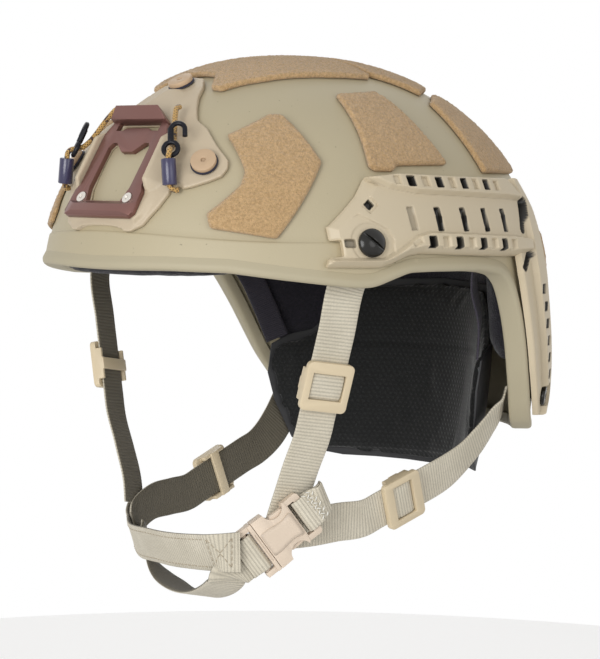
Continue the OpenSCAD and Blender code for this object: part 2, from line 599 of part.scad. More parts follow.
module crown_patch() {
    patch("top", mirrored([[0, -65], [9, -65.5], [14, -71.5], [18, -77], [24, -76], [28, -68.5],
        [34.5, -57], [42, -37.5], [46.5, -23], [48.8, -8], [49.3, 1], [0, 1]]), rings = 5);
}
module crown_rear_patch() {
    patch("top", mirrored([[0, 4.5], [46, 4.5], [51.5, 16], [58, 29], [47, 45], [30, 56], [0, 61]]), rings = 4);
}
module left_front_patch() {
    patch("side", [[-92.8, 69.3], [-95.6, 52.6], [-99.2, 46.4], [-113, 33], [-113.6, 26.5], [-93.4, 22.1],
        [-64.9, 57.2], [-68.2, 79.2], [-72.9, 79.3]]);
}
module left_rear_patch() {
    patch("side", [[-34.8, 89.7], [-38.4, 73.6], [-41.1, 63.4], [-43.2, 55.4], [-40.6, 53.6], [-30.9, 53.6],
        [-26.7, 56.4], [6.9, 57.1], [-5.7, 86.1], [-10.2, 91.7]]);
}
module left_quarter_patch() {
    patch("side", [[28.5, 87.5], [30.5, 79], [35.5, 60], [37, 53.5], [46, 53.5], [60, 53.5], [86, 53.5],
        [92, 60], [80, 76], [62, 88], [44, 92]]);
}
module back_patch() {
    patch("back", reversed(mirrored([[0, -50], [50, -50], [66, -44], [78, -20], [82, 4], [80, 22], [66, 26],
        [0, 26]])), rings = 5);
}
module right_front_patch() { mirror([1, 0, 0]) left_front_patch(); }
module right_rear_patch() { mirror([1, 0, 0]) left_rear_patch(); }
module right_quarter_patch() { mirror([1, 0, 0]) left_quarter_patch(); }

// Liner pads lie on the shell's inner face, a tape's thickness off it
pad_gap = 1.1;
pad_base = -shell_wall - pad_gap;
nut_thickness = 2;
pad_colour = [0.1, 0.1, 0.13];
brow_base = -shell_wall - trim_gap - trim_lip - gap;
module brow_pad() {
    color(pad_colour) cushion("wrap", pad_outline(0, 25.3, 42, 23.7), brow_base, pad_thickness);
}
module left_front_pad() {
    color(pad_colour) cushion("wrap", pad_outline(68, 51, 20, 20), pad_base, pad_thickness);
}
module crown_pad() {
    outline = [for (i = [0 : 27]) let (a = -360 * i / 28) [48 * cos(a), 50 * sin(a)]];
    color(pad_colour) cushion("top", outline, pad_base, pad_thickness);
}
module left_rear_pad() {
    outline = [[128, 56], [145, 50], [148, 20], [147, -20], [142, -40], [133, -45], [124, -44],
        [119.5, -36], [114.5, -10], [111, 18], [112, 46]];
    color(pad_colour) cushion("wrap", outline, pad_base, pad_thickness);
}
module back_pad() {
    color(pad_colour) cushion("wrap", pad_outline(180, -2, 28, 42), pad_base, pad_thickness);
}
module right_front_pad() { mirror([1, 0, 0]) left_front_pad(); }
module right_rear_pad() { mirror([1, 0, 0]) left_rear_pad(); }
stiffener = 1;
nape_base = pad_base - pad_thickness - 4 * gap - stiffener;
nape_outline = [[180, -4], [150, -6], [132, -34], [124, -37], [118.5, -42], [117, -58], [119, -74],
    [124, -94], [132, -101], [142, -104], [180, -106], [218, -104], [228, -101], [236, -94], [241, -74],
    [243, -58], [241.5, -42], [236, -37], [228, -34], [210, -6]];
module nape_pad() {
    color([0.13, 0.14, 0.15])
        cushion("wrap", reversed(nape_outline), nape_base, nape_pad_thickness, step = 14, inner = 3);
}
module nape_stiffener() {
    outline = [for (p = nape_outline) [180 + (p[0] - 180) * 0.985, p[1]]];
    low = nape_base + 3 * gap;
    color([0.4, 0.41, 0.42]) slab("wrap", outline, low, low + stiffener, rings = 6, step = 16);
}

hanger_width = 13;
hanger_thickness = 1.2;
module nape_hangers() {
    d = pad_base - pad_thickness - 1.6;
    route = [at(104, 22, -12), at(108, 12, -19), at(112, -2, d), at(117, -20, d), at(121, -38.9, d - 2)];
    color([0.13, 0.14, 0.25]) both_sides()
        ribbon(route, [for (u = [104, 108, 112, 117, 121]) unit(at(u, 0))], hanger_width, hanger_thickness);
}

// Fit dial under the nape edge, carried by the stiffener
dial_z = -93;
dial_face = back_reach(dial_z, nape_base + 3 * gap + stiffener);
dial_lean = atan(-2 * back_tuck * dial_z / pow(tuck_level, 2));
module at_dial(out) {
    translate([0, dial_face, dial_z]) rotate([-90 - dial_lean, 0, 0]) translate([0, 0, gap + out]) children();
}
dial_base = 4;
dial_post_r = 2.4;
module dial_housing() {
    color([0.09, 0.09, 0.1]) {
        at_dial(0) difference() {
            union() {
                cylinder(r = dial_r + 1.6, h = dial_base);
                translate([-dial_r - 12, -5, 0]) cube([2 * dial_r + 24, 10, 2.4]);
            }
            translate([0, 0, dial_base - 1.6]) cylinder(r = 4, h = 4);
        }
        at_dial(dial_base - 2.6) cylinder(r = dial_post_r, h = 6);
    }
}
module dial_knob() {
    color([0.06, 0.06, 0.07]) at_dial(dial_base + gap) difference() {
        cylinder(r = dial_r, h = 7);
        cylinder(r = dial_post_r + 0.05, h = 30, center = true);
        for (a = [0 : 24 : 359]) rotate([0, 0, a]) translate([dial_r + 0.6, 0, -1]) cylinder(r = 1.5, h = 10);
    }
}
module dial_laces() {
    d = nape_base + 4 * gap + stiffener + 0.8;
    color([0.55, 0.56, 0.58]) both_sides() cord([at(168.5, dial_z, d), at(160, dial_z + 4, d), at(150, -82, d),
        at(140, -74, d), at(130, -64, d), at(124, -54, d), at(121, -46, d)], 1.6, 6);
}

// Chin strap. Routes of the left side's webbing, from the shell to the joint below the cheek
front_face = [0.94, -0.34, 0];
// The webbing runs straight for as far as a slider reaches either way
slider_reach = slider_length / 2 + slider_travel;
slider_front = follow([77.5, -58.25, -48]);
slider_front_run = unit([-12, -2.5, -48]);
front_route = [at_side(-55.6, 25.6, -shell_wall - 5), at_side(-56.8, 13, -shell_wall - 5),
    follow([89, -55.6, 1]), slider_front - slider_front_run * (slider_reach + 3),
    slider_front + slider_front_run * (slider_reach + 2), follow([64, -60, -89]), follow([57, -60.5, -107]),
    follow([54, -62, -118])];
slider_rear = follow([66.5, 9, -109.4]);
slider_rear_run = unit([-4.2, -38, -13.2]);
rear_route = [at(128.3, -57, -shell_wall - 5.6), at(127.3, -66, -shell_wall - 6.4),
    for (p = [[74, 70, -75], [72.4, 61.5, -84], [70.6, 52, -92], [69.3, 41, -98.2]]) follow(p),
    slider_rear - slider_rear_run * (slider_reach + 2), slider_rear + slider_rear_run * (slider_reach + 2),
    for (p = [[61, -30, -118.2], [57.8, -46, -119.3], [52.2, -61.4, -120]]) follow(p)];
rear_faces = [[0.75, 0.66, 0], [0.78, 0.6, 0], [0.86, 0.5, 0], [0.9, 0.42, 0], [0.93, 0.3, -0.1],
    [0.95, 0.1, -0.1], [0.97, 0, -0.1], [0.97, -0.1, -0.1], [0.96, -0.2, -0.05], [0.94, -0.3, 0],
    [0.94, -0.34, 0]];
web_colour = [0.66, 0.62, 0.54];
module left_front_strap() { color(web_colour) ribbon(front_route, [for (p = front_route) front_face]); }
module left_rear_strap() { color(web_colour) ribbon(rear_route, rear_faces); }
module right_front_strap() { mirror([1, 0, 0]) left_front_strap(); }
module right_rear_strap() { mirror([1, 0, 0]) left_rear_strap(); }

// Slider: a frame over the webbing, with side walls and a bar behind it
slider_wall = 1.9;
slider_half = web_width / 2 + 0.6 + slider_wall;
slider_front_low = web_thickness / 2 + gap;
module slider() {
    translate([0, 0, slider_front_low]) linear_extrude(3.2) difference() {
        rounded_plate(2 * slider_half, slider_length, 2.6);
        square([web_width - 2, slider_length - 11], center = true);
    }
    for (s = [-1, 1]) translate([s * (slider_half - slider_wall / 2), 0, 0.6])
        cube([slider_wall, slider_length - 8, 5.4], center = true);
    translate([0, 0, -slider_front_low - 0.9]) cube([2 * slider_half, 6, 1.8], center = true);
}
// Doubled webbing that shows in the slider's window
module keeper() {
    translate([0, 0, slider_front_low + 1]) cube([web_width - 2.6, slider_length - 12, 2], center = true);
}
slider_colour = [0.85, 0.77, 0.62];
module at_front_slider() { place(slider_front, slider_front_run, front_face) children(); }
module at_rear_slider() { place(slider_rear, slider_rear_run, rear_faces[7]) children(); }
module left_front_slider() { color(slider_colour) at_front_slider() slider(); }
module left_front_keeper() { color(web_colour) at_front_slider() keeper(); }
module left_rear_slider() { color(slider_colour) at_rear_slider() slider(); }
module left_rear_keeper() { color(web_colour) at_rear_slider() keeper(); }
module right_front_slider() { mirror([1, 0, 0]) left_front_slider(); }
module right_front_keeper() { mirror([1, 0, 0]) left_front_keeper(); }
module right_rear_slider() { mirror([1, 0, 0]) left_rear_slider(); }
module right_rear_keeper() { mirror([1, 0, 0]) left_rear_keeper(); }

// Side-release buckle on the left cheek. Its y runs from the housing to the tongue, its z looks out
buckle_at = follow([57.8, -69.8, -121.5]);
buckle_run = unit([-0.406, -0.69, -0.6]);
buckle_face = [0.862, -0.507, 0];
buckle_half_width = 13.5;
buckle_half_depth = 3.8;
buckle_mouth = 7;
// The prongs reach as far in as the tongue travels out
prong_end = buckle_mouth - buckle_travel + 6.4;
cavity_end = prong_end - 3.4;
buckle_neck = cavity_end - 8;
cavity_half_width = 10.5;
cavity_half_depth = 2.1;
prong_depth = 2 * (cavity_half_depth - gap);
bar_r = 1.5;
tongue_base = 2;
// The bar stands off the base by the webbing that goes round it
bar_y = buckle_mouth + 3 * gap + tongue_base + web_thickness + bar_r;
tongue_end = bar_y + bar_r + gap;
module on_buckle() { place(buckle_at, buckle_run, buckle_face) children(); }
module buckle_housing() {
    color(slider_colour) on_buckle() difference() {
        union() {
            hull() for (s = [-1, 1]) {
                translate([s * (buckle_half_width - 2), buckle_mouth - 0.5, 0])
                    cube([4, 1, 2 * buckle_half_depth], center = true);
                translate([s * (buckle_half_width - 3.4), cavity_end + 3, 0])
                    cylinder(r = 3, h = 2 * buckle_half_depth - 1.4, center = true);
            }
            hull() for (s = [-1, 1]) {
                translate([s * (buckle_half_width - 4), cavity_end + 4, 0]) cube([4, 1, 5.6], center = true);
                translate([s * (buckle_half_width - 3.6), buckle_neck + 2, 0])
                    cylinder(r = 2, h = 4.6, center = true);
            }
        }
        translate([0, (buckle_mouth + 1 + cavity_end) / 2, 0])
            cube([2 * cavity_half_width, buckle_mouth + 1 - cavity_end, 2 * cavity_half_depth], center = true);
        // Side windows and the neck's slot for the tab
        for (s = [-1, 1]) translate([s * buckle_half_width, prong_end + 3.1, 0])
            cylinder(r = 5.6, h = 20, center = true);
        translate([0, buckle_neck + 5.6, 0]) cube([2 * (buckle_half_width - 4.4), 3.6, 20], center = true);
    }
}
module buckle_tongue() {
    color(slider_colour) on_buckle() difference() {
        union() {
            translate([0, buckle_mouth + gap + tongue_base / 2, 0])
                cube([2 * buckle_half_width, tongue_base, 2 * buckle_half_depth], center = true);
            for (s = [-1, 1]) {
                translate([s * (buckle_half_width - 1.3), (buckle_mouth + 1 + tongue_end) / 2, 0])
                    cube([2.6, tongue_end - buckle_mouth - 1, 5.6], center = true);
                translate([s * 8.4, 0, 0]) cube([2, 2 * buckle_mouth + 2, prong_depth], center = true);
                hull() {
                    translate([s * 8.9, prong_end + 5.4, 0]) cylinder(r = 1.3, h = prong_depth, center = true);
                    translate([s * 8.2, prong_end, 0]) cylinder(r = 1.8, h = prong_depth, center = true);
                }
            }
            translate([0, 2, 0]) cube([2.6, 12, prong_depth], center = true);
            translate([0, bar_y, 0]) rotate([0, 90, 0])
                cylinder(r = bar_r, h = 2 * buckle_half_width - 2, center = true);
        }
        // Grip groove on the base
        translate([0, buckle_mouth + gap + tongue_base / 2, buckle_half_depth])
            cube([16, 0.7, 0.8], center = true);
    }
}
module buckle_tab() {
    start = buckle_at + buckle_run * (buckle_neck - 1.2);
    color(web_colour) {
        ribbon([start, (start + tab_end) / 2 + [0.9, 0, 0], tab_end], [buckle_face, strap_face, strap_face],
            2 * (buckle_half_width - 5), 2 * web_thickness);
        on_buckle() difference() {
            translate([0, buckle_neck + 1.9, 0])
                cube([2 * (buckle_half_width - 5), 7, 7.2], center = true);
            translate([0, buckle_neck + 1.6, 0]) cube([40, 5, 5.2], center = true);
            translate([0, buckle_neck + 12.3, 0]) cube([40, 14, 20], center = true);
        }
    }
}
tab_end = follow([67.9, -46.5, -102.5]);
strap_face = [0.868, -0.369, -0.328];
module bar_webbing() {
    color(web_colour) on_buckle() translate([0, bar_y, 0]) rotate([0, 90, 0])
        linear_extrude(web_width, center = true) difference() {
            hull() {
                circle(r = bar_r + gap + web_thickness);
                translate([0, 7]) square([2 * web_thickness, 1], center = true);
            }
            circle(r = bar_r + gap);
        }
}
// The front band folds round the far cheek and crosses the chin, over the lower band's end
front_band_route = [[-61.2, -50.1, -122.5], [-59.4, -56.8, -125.5], [-54.6, -62.7, -128.6],
    [-49.2, -67.4, -131.4], [-42.5, -72.6, -133], [-33.5, -78.4, -133.5], [-23, -83.4, -132.9],
    [-12.7, -87.4, -132.1], [3.3, -91.6, -131.6], [19.3, -94.4, -130.6], [34, -96.2, -129.3], [46.4, -96, -128.1],
    [52.3, -88.6, -127.8]];
front_band_faces = [[-0.94, -0.34, 0], [-0.93, -0.36, -0.05], [-0.88, -0.45, -0.15], [-0.75, -0.6, -0.2],
    [-0.6, -0.75, -0.15], [-0.45, -0.85, -0.08], [-0.3, -0.94, -0.03], [-0.2, -0.97, 0],
    [-0.1, -1, 0], [-0.05, -1, 0], [0.15, -1, 0], [0.55, -0.8, 0], [0.8, -0.6, 0]];
lower_band_route = [[-43.5, -64.5, -126], [-42, -65.5, -133], [-36, -67, -140.5], [-27, -69, -146.8],
    [-15.7, -72.5, -151.2], [-5.2, -76, -153.4], [6.7, -79, -154.2], [18.3, -81.6, -153.5],
    [27.7, -83.5, -151.4], [35.4, -84.5, -147.7], [41.8, -84.2, -143.3], [46, -87, -139.3],
    [47.9, -86.7, -136.2], [49.2, -84.4, -134.2]];
lower_band_faces = [[-0.7, -0.7, 0], [-0.7, -0.6, -0.15], [-0.75, -0.6, -0.25], [-0.5, -0.4, -0.7],
    [-0.22, -0.22, -0.95], [-0.1, -0.2, -1], [0.05, -0.2, -1], [0.2, -0.25, -0.95],
    [0.38, -0.3, -0.85], [0.58, -0.36, -0.7], [0.78, -0.42, -0.45], [0.84, -0.46, -0.2],
    [0.862, -0.507, 0], [0.862, -0.507, 0]];
module chin_front_band() {
    color(web_colour) ribbon([for (p = front_band_route) follow(p)], front_band_faces);
}
module chin_lower_band() {
    color(web_colour) ribbon([for (p = lower_band_route) follow(p)], lower_band_faces);
}

shell();
edge_trim();
shroud_body();
shroud_insert();
insert_screws();
shroud_screws();
shroud_washers();
left_lanyard_cord();
right_lanyard_cord();
left_lanyard_sleeve();
right_lanyard_sleeve();
left_hook();
right_hook();
left_rail();
right_rail();
rail_front_screws();
rail_rear_screws();
rail_standoffs();
rail_nuts();
crown_patch();
crown_rear_patch();
left_front_patch();
right_front_patch();
left_rear_patch();
right_rear_patch();
left_quarter_patch();
right_quarter_patch();
back_patch();
brow_pad();
crown_pad();
left_front_pad();
right_front_pad();
left_rear_pad();
right_rear_pad();
back_pad();
nape_pad();
nape_stiffener();
nape_hangers();
dial_housing();
dial_knob();
dial_laces();
left_front_strap();
right_front_strap();
left_rear_strap();
right_rear_strap();
left_front_slider();
right_front_slider();
left_rear_slider();
right_rear_slider();
left_front_keeper();
right_front_keeper();
left_rear_keeper();
right_rear_keeper();
buckle_tab();
buckle_housing();
buckle_tongue();
bar_webbing();
chin_front_band();
chin_lower_band();
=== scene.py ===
import math

import bmesh
import bpy
import numpy as np
from mathutils import Matrix, Quaternion, Vector


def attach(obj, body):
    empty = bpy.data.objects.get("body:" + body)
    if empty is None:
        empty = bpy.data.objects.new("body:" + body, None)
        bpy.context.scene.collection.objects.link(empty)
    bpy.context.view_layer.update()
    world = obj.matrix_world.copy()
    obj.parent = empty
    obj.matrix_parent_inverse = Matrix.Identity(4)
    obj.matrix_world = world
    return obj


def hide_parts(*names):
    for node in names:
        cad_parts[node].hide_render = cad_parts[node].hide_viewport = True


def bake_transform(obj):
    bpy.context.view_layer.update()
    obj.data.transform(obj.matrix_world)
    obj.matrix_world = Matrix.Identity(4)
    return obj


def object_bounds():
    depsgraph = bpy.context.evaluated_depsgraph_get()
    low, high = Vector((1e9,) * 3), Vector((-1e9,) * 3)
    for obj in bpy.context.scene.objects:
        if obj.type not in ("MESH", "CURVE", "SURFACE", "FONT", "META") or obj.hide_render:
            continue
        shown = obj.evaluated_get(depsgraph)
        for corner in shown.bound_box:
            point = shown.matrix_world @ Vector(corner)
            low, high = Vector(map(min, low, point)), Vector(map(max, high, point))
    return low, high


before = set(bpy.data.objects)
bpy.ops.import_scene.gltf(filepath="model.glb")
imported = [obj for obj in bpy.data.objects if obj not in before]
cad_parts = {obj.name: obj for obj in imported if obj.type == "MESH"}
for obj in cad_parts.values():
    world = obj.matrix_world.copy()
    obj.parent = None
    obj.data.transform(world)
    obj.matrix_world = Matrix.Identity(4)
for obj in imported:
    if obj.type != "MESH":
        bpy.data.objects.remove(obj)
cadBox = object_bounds()
mm = 0.001
print("frame loaded")

# The camera stands where the photograph was taken from, in metres and degrees
photo = {
    "azimuth": 44.375,
    "elevation": 3.802,
    "roll": 0.63,
    "distance": 1.206,
    "aimRight": 0.00286,
    "aimUp": -0.0277,
    "focalPixels": 2333.1,
    "longSide": 659,
    "sensor": 36,
    "nearest": 0.05,
}


def makeCamera():
    turn, rise = math.radians(photo["azimuth"]), math.radians(photo["elevation"])
    right = Vector((math.cos(turn), math.sin(turn), 0))
    back = Vector((math.sin(turn) * math.cos(rise), -math.cos(turn) * math.cos(rise), math.sin(rise)))
    aim = right * photo["aimRight"] + Vector((0, 0, photo["aimUp"]))
    data = bpy.data.cameras.new("photoCamera")
    data.sensor_width = photo["sensor"]
    data.lens = photo["focalPixels"] * photo["sensor"] / photo["longSide"]
    data.clip_start = photo["nearest"]
    camera = bpy.data.objects.new("photoCamera", data)
    bpy.context.scene.collection.objects.link(camera)
    camera.rotation_mode = "QUATERNION"
    camera.location = aim + back * photo["distance"]
    roll = Quaternion((0, 0, 1), math.radians(photo["roll"]))
    camera.rotation_quaternion = (-back).to_track_quat("-Z", "Y") @ roll
    bpy.context.scene.camera = camera


makeCamera()

# Sizes of the shell's surface in millimetres, as the frame has them
helmet = {
    "halfWidth": 112,
    "front": 135,
    "back": 141,
    "crown": 109.5,
    "wall": 7.5,
    "squareness": 2.1,
    "frontPower": 0.8,
    "sidePower": 0.905,
    "backPower": 0.935,
    "crownPower": 1.11,
    "sideTuck": 6.5,
    "backTuck": 4,
    "tuckLevel": 80,
    "belt": 24.4,
    "beltProud": 0.7,
}


# The dome's angle above its widest section at height z, and its half width and lengths there
def elevationAt(z):
    share = np.maximum(z, 0) / helmet["crown"]
    return np.arcsin(np.clip(share ** (1 / helmet["crownPower"]), 0, 1))


def tuckAt(z):
    return (np.minimum(z, 0) / helmet["tuckLevel"]) ** 2


def widthAt(z, d=0.0):
    rounded = np.cos(elevationAt(z)) ** helmet["sidePower"]
    return (helmet["halfWidth"] + d) * rounded - helmet["sideTuck"] * tuckAt(z)


def frontAt(z, d=0.0):
    return (helmet["front"] + d) * np.cos(elevationAt(z)) ** helmet["frontPower"]


def backAt(z, d=0.0):
    rounded = np.cos(elevationAt(z)) ** helmet["backPower"]
    return (helmet["back"] + d) * rounded - helmet["backTuck"] * tuckAt(z)


# Point at plan angle u from the front and height z, d outside the shell's face
def onShell(u, z, d=0.0):
    u = np.radians(u)
    s, c = np.sin(u), np.cos(u)
    power = 2 / helmet["squareness"]
    x = widthAt(z, d) * np.sign(s) * np.abs(s) ** power
    y = -np.where(c > 0, frontAt(z, d), backAt(z, d)) * np.sign(c) * np.abs(c) ** power
    up = (helmet["crown"] + d) * np.sin(elevationAt(z)) ** helmet["crownPower"]
    return np.stack([x, y, np.where(z <= 0, z, up)], -1)


# Height of the dome over a point of the plan, found by halving
def heightAt(x, y, halvings=26):
    low, high = np.zeros(np.shape(x)), np.ones(np.shape(x))
    for _ in range(halvings):
        middle = (low + high) / 2
        z = middle * helmet["crown"]
        reach = np.where(y < 0, frontAt(z), backAt(z))
        fill = (np.abs(x) / widthAt(z)) ** helmet["squareness"]
        fill = fill + (np.abs(y) / reach) ** helmet["squareness"]
        low, high = np.where(fill < 1, middle, low), np.where(fill < 1, high, middle)
    return low * helmet["crown"]


# Point of the shell that a view from the side, front, back or top sees at a, b
def layOn(view, a, b, d=0.0):
    half = helmet["squareness"] / 2
    a, b = np.asarray(a, float), np.asarray(b, float)
    if view == "side":
        reach = np.where(a < 0, frontAt(b), backAt(b))
        turn = np.arccos(-np.sign(a) * np.minimum(1, np.abs(a) / reach) ** half)
        return onShell(np.degrees(turn), b, d)
    if view in ("front", "back"):
        turn = np.degrees(np.arcsin(np.sign(a) * np.minimum(1, np.abs(a) / widthAt(b)) ** half))
        return onShell(turn if view == "front" else 180 - turn, b, d)
    z = heightAt(a, b)
    reach = np.where(b < 0, frontAt(z), backAt(z))
    aside = np.sign(a) * (np.abs(a) / widthAt(z)) ** half
    ahead = -np.sign(b) * (np.abs(b) / reach) ** half
    return onShell(np.degrees(np.arctan2(aside, ahead)), z, d)


# The rim's height at plan angles from the front, and the turns and weights that round its corners
rimLine = [
    (0, 8), (20, 8.6), (35, 8), (46, 5.2), (56, 2.8), (64, 1), (68, 1.2), (72.4, 4.8), (76.7, 8), (85, 8.4),
    (94, 8.2), (99, 7.2), (103, 5.4), (105, 2.4), (107.5, -3), (112, -20), (118.3, -48), (123.5, -65),
    (127.5, -73), (134, -78), (141, -79), (180, -79),
]
rimBlur = ((-1.6, 1), (-0.8, 2), (0, 3), (0.8, 2), (1.6, 1))


def readOff(line, x):
    return np.interp(x, *zip(*line))


def rimAt(u):
    total = 0
    for shift, weight in rimBlur:
        total = total + weight * readOff(rimLine, 180 - np.abs(180 - np.abs(np.abs(u) + shift)))
    return total / sum(weight for shift, weight in rimBlur)


# Helpers for meshes
allSmooth = 180  # degrees: no edge stays sharp


def shade(piece, smoothAngle):
    piece.data.shade_smooth()
    if smoothAngle < allSmooth:
        piece.data.set_sharp_from_angle(angle=math.radians(smoothAngle))


def meshPiece(name, bm, smoothAngle, material):
    mesh = bpy.data.meshes.new(name)
    bm.to_mesh(mesh)
    bm.free()
    piece = bpy.data.objects.new(name, mesh)
    bpy.context.scene.collection.objects.link(piece)
    shade(piece, smoothAngle)
    mesh.materials.append(material)
    return piece


def vertsOf(bm):
    return np.array([v.co[:] for v in bm.verts])


def pointsOf(mesh, kind="co"):
    flat = np.zeros(len(mesh.vertices) * 3)
    mesh.vertices.foreach_get(kind, flat)
    return flat.reshape(-1, 3)


def setPoints(mesh, points):
    mesh.vertices.foreach_set("co", np.ascontiguousarray(points, dtype=np.float32).ravel())
    mesh.update()


def addModifier(piece, kind, **settings):
    modifier = piece.modifiers.new(kind.title(), kind)
    for key, value in settings.items():
        setattr(modifier, key, value)
    return modifier


def applyModifiers(piece):
    graph = bpy.context.evaluated_depsgraph_get()
    done = bpy.data.meshes.new_from_object(piece.evaluated_get(graph))
    piece.modifiers.clear()
    old = piece.data
    piece.data = done
    bpy.data.meshes.remove(old)


def settle(piece, body, slot, *nodes):
    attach(piece, body)
    if nodes:
        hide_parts(*nodes)


def mirrorPiece(piece, name):
    bm = bmesh.new()
    bm.from_mesh(piece.data)
    bmesh.ops.scale(bm, vec=(-1, 1, 1), verts=bm.verts)
    bmesh.ops.reverse_faces(bm, faces=bm.faces)
    return meshPiece(name, bm, allSmooth, piece.data.materials[0])


# A piece of the wearer's left side, and the same for the right
def settlePair(piece, body, slot, node):
    settle(piece, body, slot, node)
    other = mirrorPiece(piece, piece.name.replace("left", "right"))
    settle(other, body.replace("left", "right"), slot, node.replace("left", "right"))


def mirrored(half):
    return [*half, *[(-x, y) for x, y in reversed(half) if x != 0]]


def smoothStep(x):
    x = np.clip(x, 0, 1)
    return x * x * (3 - 2 * x)


def ramp(gap, width):
    return np.clip(gap / width, 0, 1)


# The nearest points on a straight run
def footOn(points, start, run):
    along = np.clip(((points - start) @ run) / max(run @ run, 1e-9), 0, 1)
    return start + along[:, None] * run


# Distance of flat points inside an outline, below zero outside it, and the nearest point on it
def edgeDistance(points, outline):
    outline = np.asarray(outline, float)
    best = np.full(len(points), 1e9)
    nearest = np.zeros_like(points)
    inside = np.zeros(len(points), bool)
    for start, end in zip(outline, np.roll(outline, -1, 0)):
        run = end - start
        foot = footOn(points, start, run)
        gap = np.linalg.norm(points - foot, axis=1)
        closer = gap < best
        best = np.where(closer, gap, best)
        nearest[closer] = foot[closer]
        crosses = (start[1] > points[:, 1]) != (end[1] > points[:, 1])
        if end[1] != start[1]:
            edge = start[0] + (points[:, 1] - start[1]) * run[0] / run[1]
            inside ^= crosses & (points[:, 0] < edge)
    return np.where(inside, best, -best), nearest


def lineDistance(points, line):
    line = np.array(line, float)
    gaps = [np.linalg.norm(points - footOn(points, start, end - start), axis=1)
            for start, end in zip(line[:-1], line[1:])]
    return np.min(gaps, axis=0)


# An arc in place of a corner, from the ways to its neighbours and its reach along them
def cornerArc(corner, before, after, reach, steps):
    start, end = corner + before.normalized() * reach, corner + after.normalized() * reach
    arc = []
    for k in range(steps + 1):
        t = k / steps
        point = start * (1 - t) ** 2 + corner * (2 * t * (1 - t)) + end * t**2
        arc.append((point.x, point.y))
    return arc


def roundCorners(outline, radius, steps=5, share=2.2):
    corners = [Vector(point) for point in outline]
    rounded = []
    for i, corner in enumerate(corners):
        before, after = corners[i - 1] - corner, corners[(i + 1) % len(corners)] - corner
        reach = min(radius, before.length / share, after.length / share)
        rounded += cornerArc(corner, before, after, reach, steps)
    return rounded


# A fine grid cut to an outline, its border drawn on to the line
def flatSheet(outline, step):
    corners = np.asarray(outline, float)
    low, high = corners.min(0) - step, corners.max(0) + step
    size = high - low
    columns, rows = int(size[0] / step) + 1, int(size[1] / step) + 1
    bm = bmesh.new()
    place = Matrix.Translation(((low[0] + high[0]) / 2, (low[1] + high[1]) / 2, 0))
    place = place @ Matrix.Diagonal((size[0], size[1], 1, 1))
    bmesh.ops.create_grid(bm, x_segments=columns, y_segments=rows, size=0.5, matrix=place)
    centres = np.array([f.calc_center_median()[:2] for f in bm.faces])
    inside = edgeDistance(centres, corners)[0]
    bm.faces.ensure_lookup_table()
    outer = [bm.faces[i] for i in np.nonzero(inside < 0)[0]]
    bmesh.ops.delete(bm, geom=outer, context="FACES")
    border = [v for v in bm.verts if v.is_boundary]
    flat = np.array([v.co[:2] for v in border])
    for vert, foot in zip(border, edgeDistance(flat, corners)[1]):
        vert.co.x, vert.co.y = foot
    return bm


def faceOrder(face):
    return sum((vert.index + 1) ** 2 for vert in face.verts)


# Gives a flat sheet a lower and an upper face, at heights kept in z. The walls come in no fixed order
def thicken(bm, low, high):
    for vert in bm.verts:
        vert.co.z = low
    whole = bm.faces[:] + bm.edges[:] + bm.verts[:]
    made = bmesh.ops.extrude_face_region(bm, geom=whole, use_keep_orig=True)
    for item in made["geom"]:
        if isinstance(item, bmesh.types.BMVert):
            item.co.z = high
    bmesh.ops.recalc_face_normals(bm, faces=bm.faces)
    bm.verts.index_update()
    bm.faces.sort(key=faceOrder)
    return bm


# Light and floor, in metres and watts
studio = {
    "worldLevel": 0.52,
    "worldColour": (1, 0.99, 0.975),
    "lamps": {
        "keyLamp": ((0.5, -1.45, 0.2), 0.9, 12),
        "fillLamp": ((1.3, -0.25, 0.25), 0.8, 2.5),
        "backLamp": ((-0.9, 0.9, 1.0), 0.8, 3),
    },
    "floorDrop": 0.135,
    "floorRadius": 0.62,
    "floorColour": (0.93, 0.93, 0.93, 1),
    "floorGlow": 0.22,
}


def addLamp(name, spot, size, power):
    data = bpy.data.lights.new(name, "AREA")
    data.shape = "DISK"
    data.size = size
    data.energy = power
    lamp = bpy.data.objects.new(name, data)
    bpy.context.scene.collection.objects.link(lamp)
    lamp.location = spot
    lamp.rotation_mode = "QUATERNION"
    lamp.rotation_quaternion = (-Vector(spot)).to_track_quat("-Z", "Y")


# The object is lit at a plain level, while the camera, metal and glass see white
def makeWorld():
    world = bpy.data.worlds.new("studio")
    bpy.context.scene.world = world
    world.use_nodes = True
    tree = world.node_tree
    tree.nodes.clear()
    path = addNode(tree, "LightPath").outputs
    lit = addNode(tree, "Background", Color=studio["worldColour"], Strength=studio["worldLevel"])
    seen = addNode(tree, "Background", Color=(1, 1, 1))
    white = calc(tree, "MAXIMUM", path["Is Camera Ray"], path["Is Glossy Ray"])
    mix = addNode(tree, "MixShader", Fac=calc(tree, "MAXIMUM", white, path["Is Transmission Ray"]))
    tree.links.new(lit.outputs[0], mix.inputs[1])
    tree.links.new(seen.outputs[0], mix.inputs[2])
    addNode(tree, "OutputWorld", Surface=mix.outputs[0])


def makeStudio():
    bpy.context.scene.view_settings.view_transform = "Standard"
    makeWorld()
    for name, (spot, size, power) in studio["lamps"].items():
        addLamp(name, spot, size, power)
    bm = bmesh.new()
    bmesh.ops.create_circle(bm, cap_ends=True, radius=studio["floorRadius"], segments=96)
    bmesh.ops.translate(bm, vec=(0, 0, cadBox[0].z - studio["floorDrop"]), verts=bm.verts)
    meshPiece("studioFloor", bm, allSmooth, floorPaper())


# Gives a node's socket a number, a colour or another node's output
def feed(tree, socket, value):
    if isinstance(value, (int, float)):
        socket.default_value = value
    elif isinstance(value, tuple):
        socket.default_value = (*value, 1)
    elif value is not None:
        tree.links.new(value, socket)


